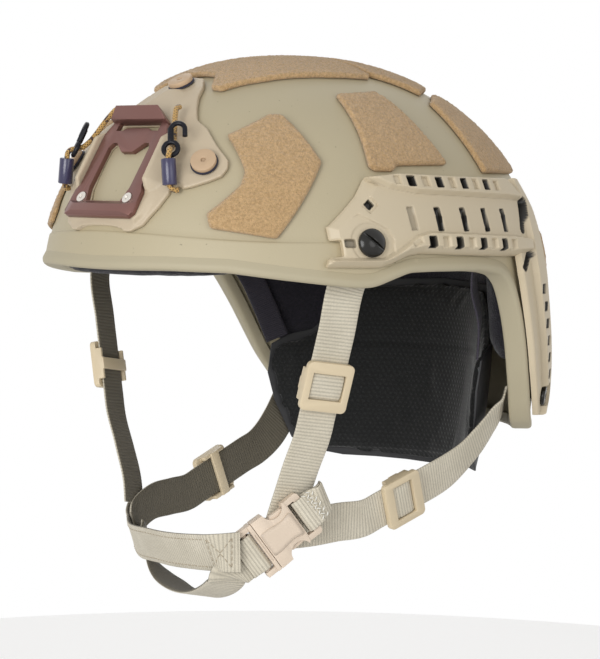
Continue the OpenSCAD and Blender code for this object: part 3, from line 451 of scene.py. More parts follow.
def addNode(tree, kind, **values):
    node = tree.nodes.new("ShaderNode" + kind)
    for label, value in values.items():
        feed(tree, node.inputs[label], value)
    return node


def calc(tree, operation, first, second=None, third=None):
    node = tree.nodes.new("ShaderNodeMath")
    node.operation = operation
    for socket, value in zip(node.inputs, (first, second, third)):
        feed(tree, socket, value)
    return node.outputs[0]


def times(tree, first, second):
    return calc(tree, "MULTIPLY", first, second)


def plus(tree, first, second):
    return calc(tree, "ADD", first, second)


def mixColour(tree, share, first, second, blend="MIX"):
    node = tree.nodes.new("ShaderNodeMix")
    node.data_type = "RGBA"
    node.blend_type = blend
    sockets = (node.inputs["Factor"], node.inputs[6], node.inputs[7])
    for socket, value in zip(sockets, (share, first, second)):
        feed(tree, socket, value)
    return node.outputs[2]


def remap(tree, value, low, high, start=0.0, end=1.0):
    ends = {"From Min": low, "From Max": high, "To Min": start, "To Max": end}
    node = addNode(tree, "MapRange", Value=value, **ends)
    node.interpolation_type = "SMOOTHSTEP"
    return node.outputs[0]


def noiseOf(tree, vector, scale, detail=2.0, roughness=0.5):
    node = addNode(tree, "TexNoise", Vector=vector, Scale=scale, Detail=detail, Roughness=roughness)
    return node.outputs["Fac"]


# One ridge to each whole number, and half a step on every second one
def ridges(tree, value):
    return calc(tree, "ABSOLUTE", calc(tree, "SINE", times(tree, value, math.pi)))


def byTurns(tree, value):
    return times(tree, calc(tree, "MODULO", calc(tree, "FLOOR", value), 2), 0.5)


def partsOf(tree, vector):
    node = addNode(tree, "SeparateXYZ", Vector=vector)
    return node.outputs["X"], node.outputs["Y"]


def objectPoint(tree):
    return addNode(tree, "TexCoord").outputs["Object"]


def weavePoint(tree):
    node = addNode(tree, "UVMap")
    node.uv_map = "weave"
    return node.outputs[0]


def markOf(tree, name):
    node = addNode(tree, "Attribute")
    node.attribute_name = name
    return node.outputs["Fac"]


def newGroup(name, inputs, outputs):
    group = bpy.data.node_groups.new(name, "ShaderNodeTree")
    group.interface.new_socket(name="Vector", in_out="INPUT", socket_type="NodeSocketVector")
    for label, value in inputs.items():
        socket = group.interface.new_socket(name=label, in_out="INPUT", socket_type="NodeSocketFloat")
        socket.default_value = value
    for label in outputs:
        group.interface.new_socket(name=label, in_out="OUTPUT", socket_type="NodeSocketFloat")
    return group, group.nodes.new("NodeGroupInput").outputs, group.nodes.new("NodeGroupOutput").inputs


def giveOut(group, ends, **results):
    for label, socket in results.items():
        group.links.new(socket, ends[label])


def useGroup(tree, name, vector, **values):
    node = tree.nodes.new("ShaderNodeGroup")
    node.node_tree = bpy.data.node_groups[name]
    tree.links.new(vector, node.inputs["Vector"])
    for label, value in values.items():
        node.inputs[label].default_value = value
    return node.outputs


# Fine orange peel, slow changes of tone and a few specks
def makeGrainGroup():
    group, start, ends = newGroup("grain", {"Scale": 900.0, "Specks": 0.0}, ("Height", "Tone", "Speck"))
    fine = noiseOf(group, start["Vector"], start["Scale"], 3.0, 0.6)
    slow = noiseOf(group, start["Vector"], times(group, start["Scale"], 0.02), 4.0, 0.55)
    speck = noiseOf(group, start["Vector"], times(group, start["Scale"], 0.45), 1.0)
    speck = times(group, remap(group, speck, 0.76, 0.82), start["Specks"])
    giveOut(group, ends, Height=fine, Tone=slow, Speck=speck)


# Ribs across the webbing, each of yarns that lean by turns; x runs along and y across, in metres
def makeWeaveGroup():
    group, start, ends = newGroup("weave", {"Rib": 1.7, "Yarn": 0.8}, ("Height", "Tone"))
    x, y = partsOf(group, start["Vector"])
    rib = calc(group, "DIVIDE", times(group, x, 1000), start["Rib"])
    yarn = calc(group, "DIVIDE", times(group, y, 1000), start["Yarn"])
    twist = plus(group, plus(group, yarn, byTurns(group, rib)), rib)
    height = plus(group, times(group, ridges(group, rib), 0.65), times(group, ridges(group, twist), 0.35))
    fibre = noiseOf(group, start["Vector"], 900, 3.0, 0.7)
    tone = plus(group, times(group, height, 0.7), times(group, fibre, 0.6))
    giveOut(group, ends, Height=height, Tone=tone)


# Short pile: loops of one size, tufts and flecks
def makeNapGroup():
    group, start, ends = newGroup("nap", {"Scale": 900.0}, ("Height", "Tone", "Fleck"))
    loops = addNode(group, "TexVoronoi", Vector=start["Vector"], Scale=start["Scale"], Randomness=1)
    fuzz = noiseOf(group, start["Vector"], times(group, start["Scale"], 1.7), 4.0, 0.7)
    tuft = noiseOf(group, start["Vector"], times(group, start["Scale"], 0.5), 3.0, 0.6)
    height = calc(group, "SUBTRACT", fuzz, times(group, loops.outputs["Distance"], 0.6))
    tone = plus(group, times(group, tuft, 0.5), times(group, fuzz, 0.5))
    giveOut(group, ends, Height=height, Tone=tone, Fleck=remap(group, fuzz, 0.56, 0.7))


shaderSockets = {
    "metallic": "Metallic",
    "coat": "Coat Weight",
    "sheen": "Sheen Weight",
    "sheenRoughness": "Sheen Roughness",
    "specular": "Specular IOR Level",
}


def newMaterial(name, roughness, **settings):
    material = bpy.data.materials.new(name)
    material.use_nodes = True
    tree = material.node_tree
    shader = tree.nodes["Principled BSDF"]
    shader.inputs["Roughness"].default_value = roughness
    for key, value in settings.items():
        shader.inputs[shaderSockets[key]].default_value = value
    return material, tree, shader


def setSurface(tree, shader, colour, height, strength, distance):
    bump = addNode(tree, "Bump", Height=height, Strength=strength, Distance=distance)
    tree.links.new(colour, shader.inputs["Base Color"])
    tree.links.new(bump.outputs[0], shader.inputs["Normal"])


def shaded(colour, factor):
    return tuple(min(1, c * factor) for c in colour)


# Moulded, painted or metal surfaces: grain, slow tone, specks, a painted highlight on sharp edges and
# painted shade in hollows
# Pointiness ranges and colour factors of the painted highlight on edges and the painted shade in hollows;
# the dark factor also darkens the specks, and depth is the bump's
paintedLightAndSpecks = {"edge": (0.515, 0.58), "paintedHollowShade": (0.485, 0.42), "pale": 1.35, "dark": 0.45, "depth": 0.0004}
# Painted shadow laid in the rails' openings, where the mark deep is set
holeShadowColour = (0.012, 0.011, 0.009)


# edges sets how strong the painted edge highlight and the painted hollow shade are
def hardFinish(name, colour, roughness, grain, bump, tone, specks, edges, **settings):
    material, tree, shader = newMaterial(name, roughness, **settings)
    grains = useGroup(tree, "grain", objectPoint(tree), Scale=grain, Specks=specks)
    base = mixColour(tree, grains["Tone"], shaded(colour, 1 - tone), shaded(colour, 1 + tone))
    base = mixColour(tree, grains["Speck"], base, shaded(colour, paintedLightAndSpecks["dark"]))
    form = addNode(tree, "NewGeometry").outputs["Pointiness"]
    # Painted highlight: sharp edges are made lighter by pointiness
    base = mixColour(tree, remap(tree, form, *paintedLightAndSpecks["edge"], 0, edges), base, shaded(colour, paintedLightAndSpecks["pale"]))
    # Painted shade: hollows are made darker by pointiness
    paintedHollowShade = remap(tree, form, *paintedLightAndSpecks["paintedHollowShade"], 0, edges * 1.2)
    base = mixColour(tree, paintedHollowShade, base, shaded(colour, paintedLightAndSpecks["dark"]))
    # Painted shadow in the openings marked deep
    base = mixColour(tree, markOf(tree, "deep"), base, holeShadowColour)
    rough = calc(tree, "MULTIPLY_ADD", grains["Tone"], 0.16, roughness - 0.08)
    tree.links.new(rough, shader.inputs["Roughness"])
    setSurface(tree, shader, base, grains["Height"], bump, paintedLightAndSpecks["depth"])
    return material


# Webbing: ribs and yarns from its own map, a darker inner face
def webFinish(name, colour, inner, rib=1.7, yarn=0.8, roughness=0.75):
    material, tree, shader = newMaterial(name, roughness, sheen=0.15, specular=0.3)
    weave = useGroup(tree, "weave", weavePoint(tree), Rib=rib, Yarn=yarn)
    pale = mixColour(tree, weave["Tone"], shaded(colour, 0.5), shaded(colour, 1.28))
    dark = mixColour(tree, weave["Tone"], shaded(inner, 0.7), shaded(inner, 1.3))
    slow = remap(tree, noiseOf(tree, objectPoint(tree), 40, 3.0), 0.35, 0.7, 0, 0.22)
    base = mixColour(tree, markOf(tree, "inner"), pale, dark)
    base = mixColour(tree, slow, base, shaded(colour, 0.75), "MULTIPLY")
    setSurface(tree, shader, base, weave["Height"], 0.55, 0.0004)
    return material


# Pile and brushed cloth
def napFinish(name, colour, dark, scale, bump, fleck, roughness=0.9, sheen=0.4):
    material, tree, shader = newMaterial(name, roughness, sheen=sheen, sheenRoughness=0.5, specular=0.2)
    pile = useGroup(tree, "nap", objectPoint(tree), Scale=scale)
    base = mixColour(tree, remap(tree, pile["Tone"], 0.36, 0.62), dark, colour)
    base = mixColour(tree, times(tree, pile["Fleck"], fleck), base, shaded(colour, 1.5))
    setSurface(tree, shader, base, pile["Height"], bump, 0.0007)
    return material


# Spaced mesh over foam: rows of small holes that read as pale dots
def meshFinish(name, colour, pitch):
    material, tree, shader = newMaterial(name, 0.82, sheen=0.25, specular=0.25)
    along, across = (calc(tree, "DIVIDE", part, pitch) for part in partsOf(tree, weavePoint(tree)))
    x = calc(tree, "SUBTRACT", calc(tree, "FRACT", plus(tree, along, byTurns(tree, across))), 0.5)
    y = calc(tree, "SUBTRACT", calc(tree, "FRACT", across), 0.5)
    radius = calc(tree, "SQRT", plus(tree, times(tree, x, x), times(tree, y, y)))
    dot = remap(tree, radius, 0.34, 0.2)
    pile = useGroup(tree, "nap", objectPoint(tree), Scale=1300)
    base = mixColour(tree, pile["Tone"], shaded(colour, 0.55), shaded(colour, 1.5))
    base = mixColour(tree, times(tree, dot, 0.4), base, shaded(colour, 2.6))
    base = mixColour(tree, times(tree, pile["Fleck"], 0.25), base, (0.2, 0.2, 0.21))
    height = calc(tree, "SUBTRACT", times(tree, pile["Height"], 0.4), dot)
    setSurface(tree, shader, base, height, 0.5, 0.0004)
    return material


# Braided cord from its own map: x along and y round it
def braidFinish(name, colour, fleck, pitch, share):
    material, tree, shader = newMaterial(name, 0.55, sheen=0.2)
    x, y = partsOf(tree, weavePoint(tree))
    along = calc(tree, "DIVIDE", x, pitch)
    leans = [times(tree, calc(tree, way, along, y), math.tau) for way in ("ADD", "SUBTRACT")]
    strand = calc(tree, "MAXIMUM", *(calc(tree, "SINE", lean) for lean in leans))
    marks = remap(tree, noiseOf(tree, objectPoint(tree), 420, 1.0), 0.62 - share, 0.68 - share)
    base = mixColour(tree, remap(tree, strand, -0.2, 0.9), shaded(colour, 0.45), shaded(colour, 1.2))
    base = mixColour(tree, marks, base, fleck)
    setSurface(tree, shader, base, strand, 0.6, 0.0003)
    return material


def floorPaper():
    material, tree, shader = newMaterial("floorPaper", 0.9)
    shader.inputs["Base Color"].default_value = studio["floorColour"]
    shader.inputs["Emission Color"].default_value = (1, 1, 1, 1)
    glow = times(tree, addNode(tree, "LightPath").outputs["Is Camera Ray"], studio["floorGlow"])
    tree.links.new(glow, shader.inputs["Emission Strength"])
    return material


makeGrainGroup()
makeWeaveGroup()
makeNapGroup()
makeStudio()

# Hard finishes: colour, roughness, grain, bump, tone, specks and the strength of the painted edge highlight
# and hollow shade
finish = {
    "shell": hardFinish("shellCoat", (0.46, 0.4, 0.268), 0.52, 1100, 0.16, 0.035, 0.7, 0.1),
    "trim": hardFinish("trimRubber", (0.44, 0.39, 0.27), 0.6, 900, 0.1, 0.05, 0, 0.2),
    "shroud": hardFinish("shroudPolymer", (0.53, 0.44, 0.315), 0.5, 1300, 0.14, 0.06, 0.2, 0.35),
    "insert": hardFinish("shroudAlloy", (0.2, 0.1, 0.086), 0.36, 2600, 0.05, 0.06, 0, 0.5, metallic=0.7),
    "insertScrew": hardFinish("screwPlated", (0.72, 0.68, 0.62), 0.3, 2000, 0.05, 0.08, 0, 0.3,
                              metallic=0.8),
    "shroudScrew": hardFinish("screwTan", (0.52, 0.37, 0.235), 0.5, 1500, 0.1, 0.06, 0, 0.4),
    "blackMetal": hardFinish("screwBlack", (0.011, 0.01, 0.008), 0.17, 1500, 0.03, 0.1, 0, 0.2,
                             specular=0.36),
    "hook": hardFinish("hookBlack", (0.006, 0.006, 0.01), 0.3, 1500, 0.06, 0.1, 0, 0.4, specular=0.22),
    "washer": hardFinish("washerRubber", (0.012, 0.012, 0.03), 0.6, 1500, 0.1, 0.1, 0, 0.2),
    "sleeve": hardFinish("lanyardSleeve", (0.028, 0.025, 0.075), 0.28, 700, 0.25, 0.12, 0, 0.3, coat=0.3),
    "rail": hardFinish("railPolymer", (0.57, 0.485, 0.345), 0.47, 1200, 0.1, 0.04, 0.15, 0.4),
    "buckle": hardFinish("bucklePlastic", (0.68, 0.565, 0.45), 0.42, 1300, 0.08, 0.04, 0.1, 0.35),
    "slider": hardFinish("sliderPlastic", (0.66, 0.55, 0.375), 0.4, 1300, 0.08, 0.04, 0.1, 0.35),
    "dial": hardFinish("dialPlastic", (0.018, 0.018, 0.02), 0.4, 1300, 0.12, 0.1, 0, 0.4),
    "stiffener": hardFinish("napePlastic", (0.02, 0.02, 0.022), 0.6, 900, 0.05, 0.05, 0, 0.3),
    "loop": napFinish("loopPile", (0.68, 0.455, 0.23), (0.44, 0.275, 0.125), 1500, 0.9, 0.4),
    "pad": napFinish("padFabric", (0.018, 0.0155, 0.024), (0.006, 0.0055, 0.009), 1400, 0.7, 0.3,
                     0.85, 0.25),
    "nape": meshFinish("napeMesh", (0.008, 0.0085, 0.0085), 0.0024),
    "webbing": webFinish("webbing", (0.59, 0.545, 0.445), (0.125, 0.11, 0.08)),
    "hanger": webFinish("hangerWebbing", (0.045, 0.038, 0.058), (0.016, 0.013, 0.022), 1.1, 0.6, 0.5),
    "cord": braidFinish("lanyardElastic", (0.5, 0.3, 0.09), (0.06, 0.03, 0.02), 0.0016, 0.04),
    "lace": braidFinish("laceNylon", (0.2, 0.21, 0.22), (0.1, 0.1, 0.1), 0.0012, 0.0),
    "thread": hardFinish("sewingThread", (0.4, 0.34, 0.25), 0.7, 3000, 0.3, 0.1, 0, 0.2),
    "paleThread": hardFinish("tabThread", (0.78, 0.76, 0.7), 0.7, 3000, 0.3, 0.06, 0, 0.2),
}
print("materials made")


# Grids shaped by formula: their rows and columns, from 0
def gridSheet(columns, rows):
    bm = bmesh.new()
    bmesh.ops.create_grid(bm, x_segments=columns, y_segments=rows, size=0.5)
    flat = np.array([v.co[:2] for v in bm.verts])
    place = np.rint((flat + 0.5) * (columns, rows)).astype(int)
    return bm, place[:, 0], place[:, 1]


def movePoints(bm, points):
    for vert, point in zip(bm.verts, np.asarray(points, float) * mm):
        vert.co = point


def closeSeams(bm):
    bmesh.ops.remove_doubles(bm, verts=bm.verts, dist=1e-6)
    bmesh.ops.recalc_face_normals(bm, faces=bm.faces)


# Shell: outer face with a prouder belt below its crease, rim and inner face
shellCut = {
    "columns": 300,
    "lowRows": 20,
    "highRows": 48,
    "innerRows": 34,
    "innerLow": 0.5,
    "crease": 0.55,
    "fade": (48, 78),
    "beltDrop": 3.8,
    "beltTurn": 50,
}


def turnFromFront(u):
    return np.abs((np.asarray(u) + 180) % 360 - 180)


def beltAt(u):
    return helmet["belt"] - shellCut["beltDrop"] * smoothStep(turnFromFront(u) / shellCut["beltTurn"])


# Heights from an angle of the dome up to the crown
def riseFrom(start, share):
    return helmet["crown"] * np.sin(start + (math.pi / 2 - start) * share) ** helmet["crownPower"]


def makeShell():
    crease = shellCut["crease"]
    u = np.linspace(0, 360, shellCut["columns"] + 1)
    rim, belt = rimAt(u), beltAt(u)
    low = np.linspace(0, 1, shellCut["lowRows"])[:, None]
    high = np.linspace(0, 1, shellCut["highRows"] + 1)[1:, None]
    outer = np.concatenate([
        rim + (belt - crease - rim) * low,
        belt + crease * np.array([[-0.5], [0], [0.5], [1]]),
        riseFrom(elevationAt(belt + crease), high),
    ])[::-1]
    share = np.linspace(0, 1, shellCut["innerRows"])[:, None]
    inner = riseFrom(elevationAt(rim), share)
    inner = np.where(inner > shellCut["innerLow"], inner, 0) + np.minimum(rim, 0) * (1 - share) ** 2
    inner[0], inner[-1] = rim, helmet["crown"]
    start, end = shellCut["fade"]
    fade = 1 - smoothStep((turnFromFront(u) - start) / (end - start))
    proud = helmet["beltProud"] * fade * (1 - smoothStep((outer - belt + crease) / (2 * crease)))
    z = np.concatenate([outer, inner])
    depth = np.concatenate([proud, np.full(inner.shape, -helmet["wall"])])
    bm, column, row = gridSheet(shellCut["columns"], len(z) - 1)
    movePoints(bm, onShell(u[column], z[row, column], depth[row, column]))
    closeSeams(bm)
    settle(meshPiece("helmetShell", bm, 50, finish["shell"]), "root", "shell_coat", "shell")


# Edge trim: a rubber channel round the rim, square to the rim's run; its last values round its corners
trim = {
    "columns": 430,
    "walk": 1441,
    "gap": 0.6,
    "lip": 1.3,
    "depth": 5,
    "foot": -1.6,
    "seat": -0.3,
    "edge": 0.55,
    "heel": 2.4,
    "shoulder": (1.6, 0.7),
    "taper": (0.4, 0.12),
    "face": 0.05,
    "inside": (0.05, 0.02, 0.2),
}


# Rows of points round the rim, each at an offset out of the shell and up from its edge
def sweepRim(u, offsets):
    point = onShell(u, rimAt(u))
    along = onShell(u + 0.2, rimAt(u + 0.2)) - onShell(u - 0.2, rimAt(u - 0.2))
    out = onShell(u, rimAt(u), 1) - onShell(u, rimAt(u), -1)
    out /= np.linalg.norm(out, axis=1)[:, None]
    up = np.cross(out, along)
    up /= np.linalg.norm(up, axis=1)[:, None]
    return np.array([point + out * o + up * rise for o, rise in offsets])


def makeTrim():
    low, high, seat, face = trim["foot"], trim["depth"], trim["seat"], trim["face"]
    outside, far = trim["gap"] + trim["lip"], -helmet["wall"] - trim["gap"]
    mouth, base, back = trim["inside"]
    corners = [
        (outside, *trim["shoulder"]),
        (trim["taper"][0], high, trim["taper"][1]),
        (face, high, mouth),
        (face, seat, base),
        (far, seat, back),
        (far, high, trim["edge"]),
        (far - trim["lip"], high, trim["edge"]),
        (far - trim["lip"], low, trim["heel"]),
        (outside, low, trim["heel"]),
    ]
    profile, ring = [], [Vector((out, up)) for out, up, radius in corners]
    for i, (out, up, radius) in enumerate(corners):
        before, after = ring[i - 1] - ring[i], ring[(i + 1) % len(ring)] - ring[i]
        profile += cornerArc(ring[i], before, after, radius, 4)
    profile.append(profile[0])
    fine = np.linspace(0, 360, trim["walk"])
    walk = np.linalg.norm(np.diff(onShell(fine, rimAt(fine)), axis=0), axis=1).cumsum()
    u = np.interp(np.linspace(0, walk[-1], trim["columns"] + 1), np.append(0, walk), fine)
    rows = sweepRim(u, profile)
    bm, column, row = gridSheet(trim["columns"], len(profile) - 1)
    movePoints(bm, rows[row, column])
    closeSeams(bm)
    settle(meshPiece("edgeTrim", bm, 60, finish["trim"]), "root", "trim_rubber", "edge_trim")


# Loop patches: cut outlines with a soft edge and a tufted face. The left ones have a mirrored twin
patchCut = {
    "step": 0.75,
    "corner": 1.4,
    "low": 0.5,
    "high": 3.1,
    "edge": 1.1,
    "tuft": 0.16,
    "edgeTuft": 0.4,
    "tuftMost": 0.35,
    "seed": 11,
}
patches = {
    "crownPatch": ("crown_patch", "top", mirrored([
        (0, -65), (9, -65.5), (14, -71.5), (18, -77), (24, -76), (28, -68.5), (34.5, -57), (42, -37.5),
        (46.5, -23), (48.8, -8), (49.3, 1), (0, 1),
    ])),
    "crownRearPatch": ("crown_rear_patch", "top", mirrored([
        (0, 4.5), (46, 4.5), (51.5, 16), (58, 29), (47, 45), (30, 56), (0, 61),
    ])),
    "leftFrontPatch": ("left_front_patch", "side", [
        (-92.8, 69.3), (-95.6, 52.6), (-99.2, 46.4), (-113, 33), (-113.6, 26.5), (-93.4, 22.1),
        (-64.9, 57.2), (-68.2, 79.2), (-72.9, 79.3),
    ]),
    "leftRearPatch": ("left_rear_patch", "side", [
        (-34.8, 89.7), (-38.4, 73.6), (-41.1, 63.4), (-43.2, 55.4), (-40.6, 53.6), (-30.9, 53.6),
        (-26.7, 56.4), (6.9, 57.1), (-5.7, 86.1), (-10.2, 91.7),
    ]),
    "leftQuarterPatch": ("left_quarter_patch", "side", [
        (28.5, 87.5), (30.5, 79), (35.5, 60), (37, 53.5), (46, 53.5), (60, 53.5), (86, 53.5), (92, 60),
        (80, 76), (62, 88), (44, 92),
    ]),
    "backPatch": ("back_patch", "back", mirrored([
        (0, -50), (50, -50), (66, -44), (78, -20), (82, 4), (80, 22), (66, 26), (0, 26),
    ])),
}


def makePatch(name, node, view, outline, seed):
    outline = roundCorners(outline, patchCut["corner"])
    bm = thicken(flatSheet(outline, patchCut["step"]), patchCut["low"], patchCut["high"])
    flat = vertsOf(bm)
    share = np.clip(edgeDistance(flat[:, :2], outline)[0] / patchCut["edge"], 0, 1)
    drop = patchCut["edge"] * (1 - np.sqrt(1 - (1 - share) ** 2))
    draws = np.random.default_rng(seed)
    least, most = patchCut["edgeTuft"], patchCut["tuftMost"]
    tuft = draws.normal(0, patchCut["tuft"], len(flat)) * (least + (1 - least) * share)
    top = flat[:, 2] > (patchCut["low"] + patchCut["high"]) / 2
    depth = np.where(top, flat[:, 2] - drop + np.clip(tuft, -most, most), flat[:, 2])
    movePoints(bm, layOn(view, flat[:, 0], flat[:, 1], depth))
    bmesh.ops.recalc_face_normals(bm, faces=bm.faces)
    piece = meshPiece(name, bm, allSmooth, finish["loop"])
    if name.startswith("left"):
        settlePair(piece, "root", "loop_pile", node)
    else:
        settle(piece, "root", "loop_pile", node)


makeShell()
makeTrim()
for number, (name, (node, view, outline)) in enumerate(patches.items()):
    makePatch(name, node, view, outline, patchCut["seed"] + number)
print("shell, trim and patches made")


# Side rails: a relief over the shell's side, in millimetres along y and z, its openings painted dark as
# shadow
rail = {
    "step": 0.4,
    "corner": 1.1,
    "seat": 0.6,
    "least": 0.9,
    "web": 6.4,
    "ridge": 9.6,
    "bank": 1.3,
    "lowBank": 1.8,
    "round": 0.7,
    "recess": (0.9, 0.5),
    "boltFront": (-55.3, 19.6),
    "knobSeat": (9.2, 0.45, 0.6),
    "boltRear": (88, -60),
    "boltSeat": (6, 5.0),
    "lowerFoot": 4.6,
    "frontSlope": (2.4, 0.72),
    "lowSlope": (3.2, 2.2),
    "topSlope": (4.2, 2.4),
    "holeFrame": ((-52.2, 36.6), (6.6, 5.6), 37, 0.6, 5.5),
    "armSeat": 2.4,
    "armWeb": 5.9,
    "armRidge": 9.0,
    "armInner": (0.42, 0.97),
    "armPocket": ((4.4, 4.8), 15, 3.2),
}
opening = {"corner": 0.6, "chamfer": 0.4, "border": 0.55, "steep": 6, "mark": 0.3}
ridgeLow = [(-75.5, 9), (-51.2, 8.8), (-44.4, 10.8), (-36, 14), (-28, 15.2), (37, 12.8), (54, 12.6)]
ridgeHigh = [
    (-75.5, 9.8), (-74.2, 13.2), (-49.5, 13.4), (-44, 16.2), (-31, 23.6), (-24, 25.2), (41, 22.7), (54, 21),
]
upperLow = [(-48.6, 47.5), (-40.2, 43.6), (-26, 41.2), (40, 38.9), (54, 38)]
railTop = [(54, 40), (47, 46), (41, 49.5), (-3, 50.2), (-33.3, 51.2), (-49.1, 49.6)]
railFront = [
    (-56.2, 41.6), (-72.2, 27.8), (-73, 27.6), (-73, 21.2), (-68, 21.2), (-68, 13.8), (-74.2, 13.2),
    (-75.5, 9.8),
]
frontBevel = [(-73, 20), (-73, 27.6), (-56.2, 41.6), (-49.1, 49.6), (-42, 50.8)]
screwBay = [
    (-69.6, 28), (-58.6, 32.6), (-51.2, 28.8), (-45.7, 25.7), (-43.3, 21.6), (-43.9, 15.8), (-47, 12),
    (-75.5, 12),
]
armFront = [(-71, 86), (-64, 80), (-48, 69.5), (-20, 56.5), (-6, 50.5), (4, 46.5), (12, 45), (48, 44)]
armBack = [(-71, 90), (-62, 98), (-48, 92), (-20, 79), (-6, 73.5), (12, 68), (34, 64), (48, 56)]
armLevels = [48, 36, 24, 12, 4, -6, -16, -26, -36, -46, -55, -62, -67, -71]


# Rows of openings: first centre, pitch, step after the second one, size, turn and the face they are cut
# in, then the depth and the strength of painted shadow in each
railRows = [
    ((-31.5, 30.4), (15.8, -0.3), 1, (3.6, 10.5), 2, "web", [(1.2, 0.35)] + [(2.4, 1)] * 4),
    ((-28.4, 46), (8.2, -0.25), 0, (4.4, 4.4), 0, "ridge", [(4.2, 1), (1.7, 0)] * 4),
    ((-24.2, 19.6), (8.2, -0.3), 0, (4.4, 5), 0, "ridge", [(4.2, 1), (1.7, 0)] * 4),
]
# Single openings: centre, size, turn, corner radius, face, depth and strength of painted shadow
railHoles = [
    ((-35.7, 46.4), (3.6, 3.6), 0, 0.6, "ridge", 1.2, 0),
    ((-32.8, 19.6), (5.4, 2.6), 24, 0.6, "ridge", 1.2, 0),
    ((-64.6, 19.6), (5, 3.6), 0, 0.8, "web", 3.2, 0.6),
    ((-52.2, 36.6), (3.6, 3.2), 37, 0.3, "web", 3.2, 1),
]
rearSlots = [((52, 31), (4.6, 17), -20, 2, "web", 2.8, 1), ((51, 10), (4.6, 11), -38, 2, "web", 2.8, 1)]


# Distance outside a rounded box, below zero inside it
def boxGap(points, centre, size, turn, radius):
    c, s = math.cos(math.radians(turn)), math.sin(math.radians(turn))
    x, y = points[:, 0] - centre[0], points[:, 1] - centre[1]
    x, y = x * c + y * s, y * c - x * s
    x, y = np.abs(x) - size[0] / 2 + radius, np.abs(y) - size[1] / 2 + radius
    return np.hypot(np.maximum(x, 0), np.maximum(y, 0)) + np.minimum(np.maximum(x, y), 0) - radius


# Openings with a small chamfer round each, and their painted shadow
def cutOpenings(points, top, openings):
    dark = np.zeros(len(points))
    for centre, size, turn, radius, face, deep, black in openings:
        gap = boxGap(points, centre, size, turn, radius)
        top = top - opening["chamfer"] * (1 - ramp(gap, opening["border"])) * (gap > 0)
        top = np.where(gap < 0, np.maximum(rail[face] - deep, top + gap * opening["steep"]), top)
        # Painted shadow in each opening by its strength, fading just outside its edge
        dark = np.maximum(dark, black * ramp(opening["mark"] - gap, opening["mark"]))
    return top, dark


def plateOpenings():
    openings = []
    for (x, y), (along, up), step, size, turn, face, depths in railRows:
        for i, (deep, black) in enumerate(depths):
            centre = (x + along * i + step * (i > 1), y + up * i)
            openings.append((centre, size, turn, opening["corner"], face, deep, black))
    return openings + railHoles + rearSlots


def armOpenings():
    size, inward, deep = rail["armPocket"]
    centres = [(readOff(armFront, z) + inward, z) for z in range(-4, -50, -9)]
    pockets = [(centre, size, 0, opening["corner"], "web", deep, 1) for centre in centres]
    return pockets + rearSlots


def roundBorder(points, top, outline):
    return top - rail["round"] * (1 - ramp(edgeDistance(points, outline)[0], rail["round"]))


def plateRelief(points, outline):
    def slopeFrom(line, name):
        start, rise = rail[name]
        return start + rise * lineDistance(points, line)

    web, ridge, foot = rail["web"], rail["ridge"], rail["lowerFoot"]
    lower = edgeDistance(points, ridgeLow + ridgeHigh[::-1])[0]
    upper = edgeDistance(points, upperLow + railTop)[0]
    recess, bank = rail["recess"]
    top = web - recess * ramp(edgeDistance(points, screwBay)[0], bank)
    reach, deep, bank = rail["knobSeat"]
    top = top - deep * ramp(reach - np.linalg.norm(points - rail["boltFront"], axis=1), bank)
    top = np.minimum(top, slopeFrom(frontBevel, "frontSlope"))
    top = np.maximum(top, np.where(lower > 0, foot + (ridge - foot) * ramp(lower, rail["lowBank"]), 0))
    top = np.maximum(top, np.where(upper > 0, web + (ridge - web) * ramp(upper, rail["bank"]), 0))
    top = np.minimum(top, slopeFrom(ridgeLow, "lowSlope"))
    top = np.minimum(top, slopeFrom(railTop, "topSlope"))
    *frameBox, floor = rail["holeFrame"]
    top = np.where(boxGap(points, *frameBox) < 0, np.minimum(top, floor), top)
    top, dark = cutOpenings(points, top, plateOpenings())
    return np.maximum(roundBorder(points, top, outline), rail["least"]), dark


def armRelief(points, outline):
    front = readOff(armFront, points[:, 1])
    width, inward = readOff(armBack, points[:, 1]) - front, points[:, 0] - front
    near, far = rail["armInner"]
    inner = np.minimum(inward - near * width, far * width - inward)
    top = rail["armWeb"] + (rail["armRidge"] - rail["armWeb"]) * ramp(inner, rail["bank"])
    reach, seat = rail["boltSeat"]
    top, dark = cutOpenings(points, top, armOpenings())
    top = np.where(np.linalg.norm(points - rail["boltRear"], axis=1) < reach, seat, top)
    return roundBorder(points, top, outline), dark


def reliefSheet(outline, relief, seat, high=20):
    outline = roundCorners(outline, rail["corner"], 3)
    bm = thicken(flatSheet(outline, rail["step"]), seat, high)
    flat = vertsOf(bm)
    top, dark = relief(flat[:, :2], outline)
    upper = flat[:, 2] > high / 2
    movePoints(bm, layOn("side", flat[:, 0], flat[:, 1], np.where(upper, top, seat)))
    return bm, np.where(upper, dark, 0)


def markPoints(piece, name, values):
    layer = piece.data.attributes.new(name, "FLOAT", "POINT")
    layer.data.foreach_set("value", np.asarray(values, np.float32))


def joinSheets(sheets):
    whole, marks = bmesh.new(), []
    for bm, dark in sheets:
        mesh = bpy.data.meshes.new("sheet")
        bm.to_mesh(mesh)
        bm.free()
        whole.from_mesh(mesh)
        bpy.data.meshes.remove(mesh)
        marks.append(dark)
    return whole, np.concatenate(marks)


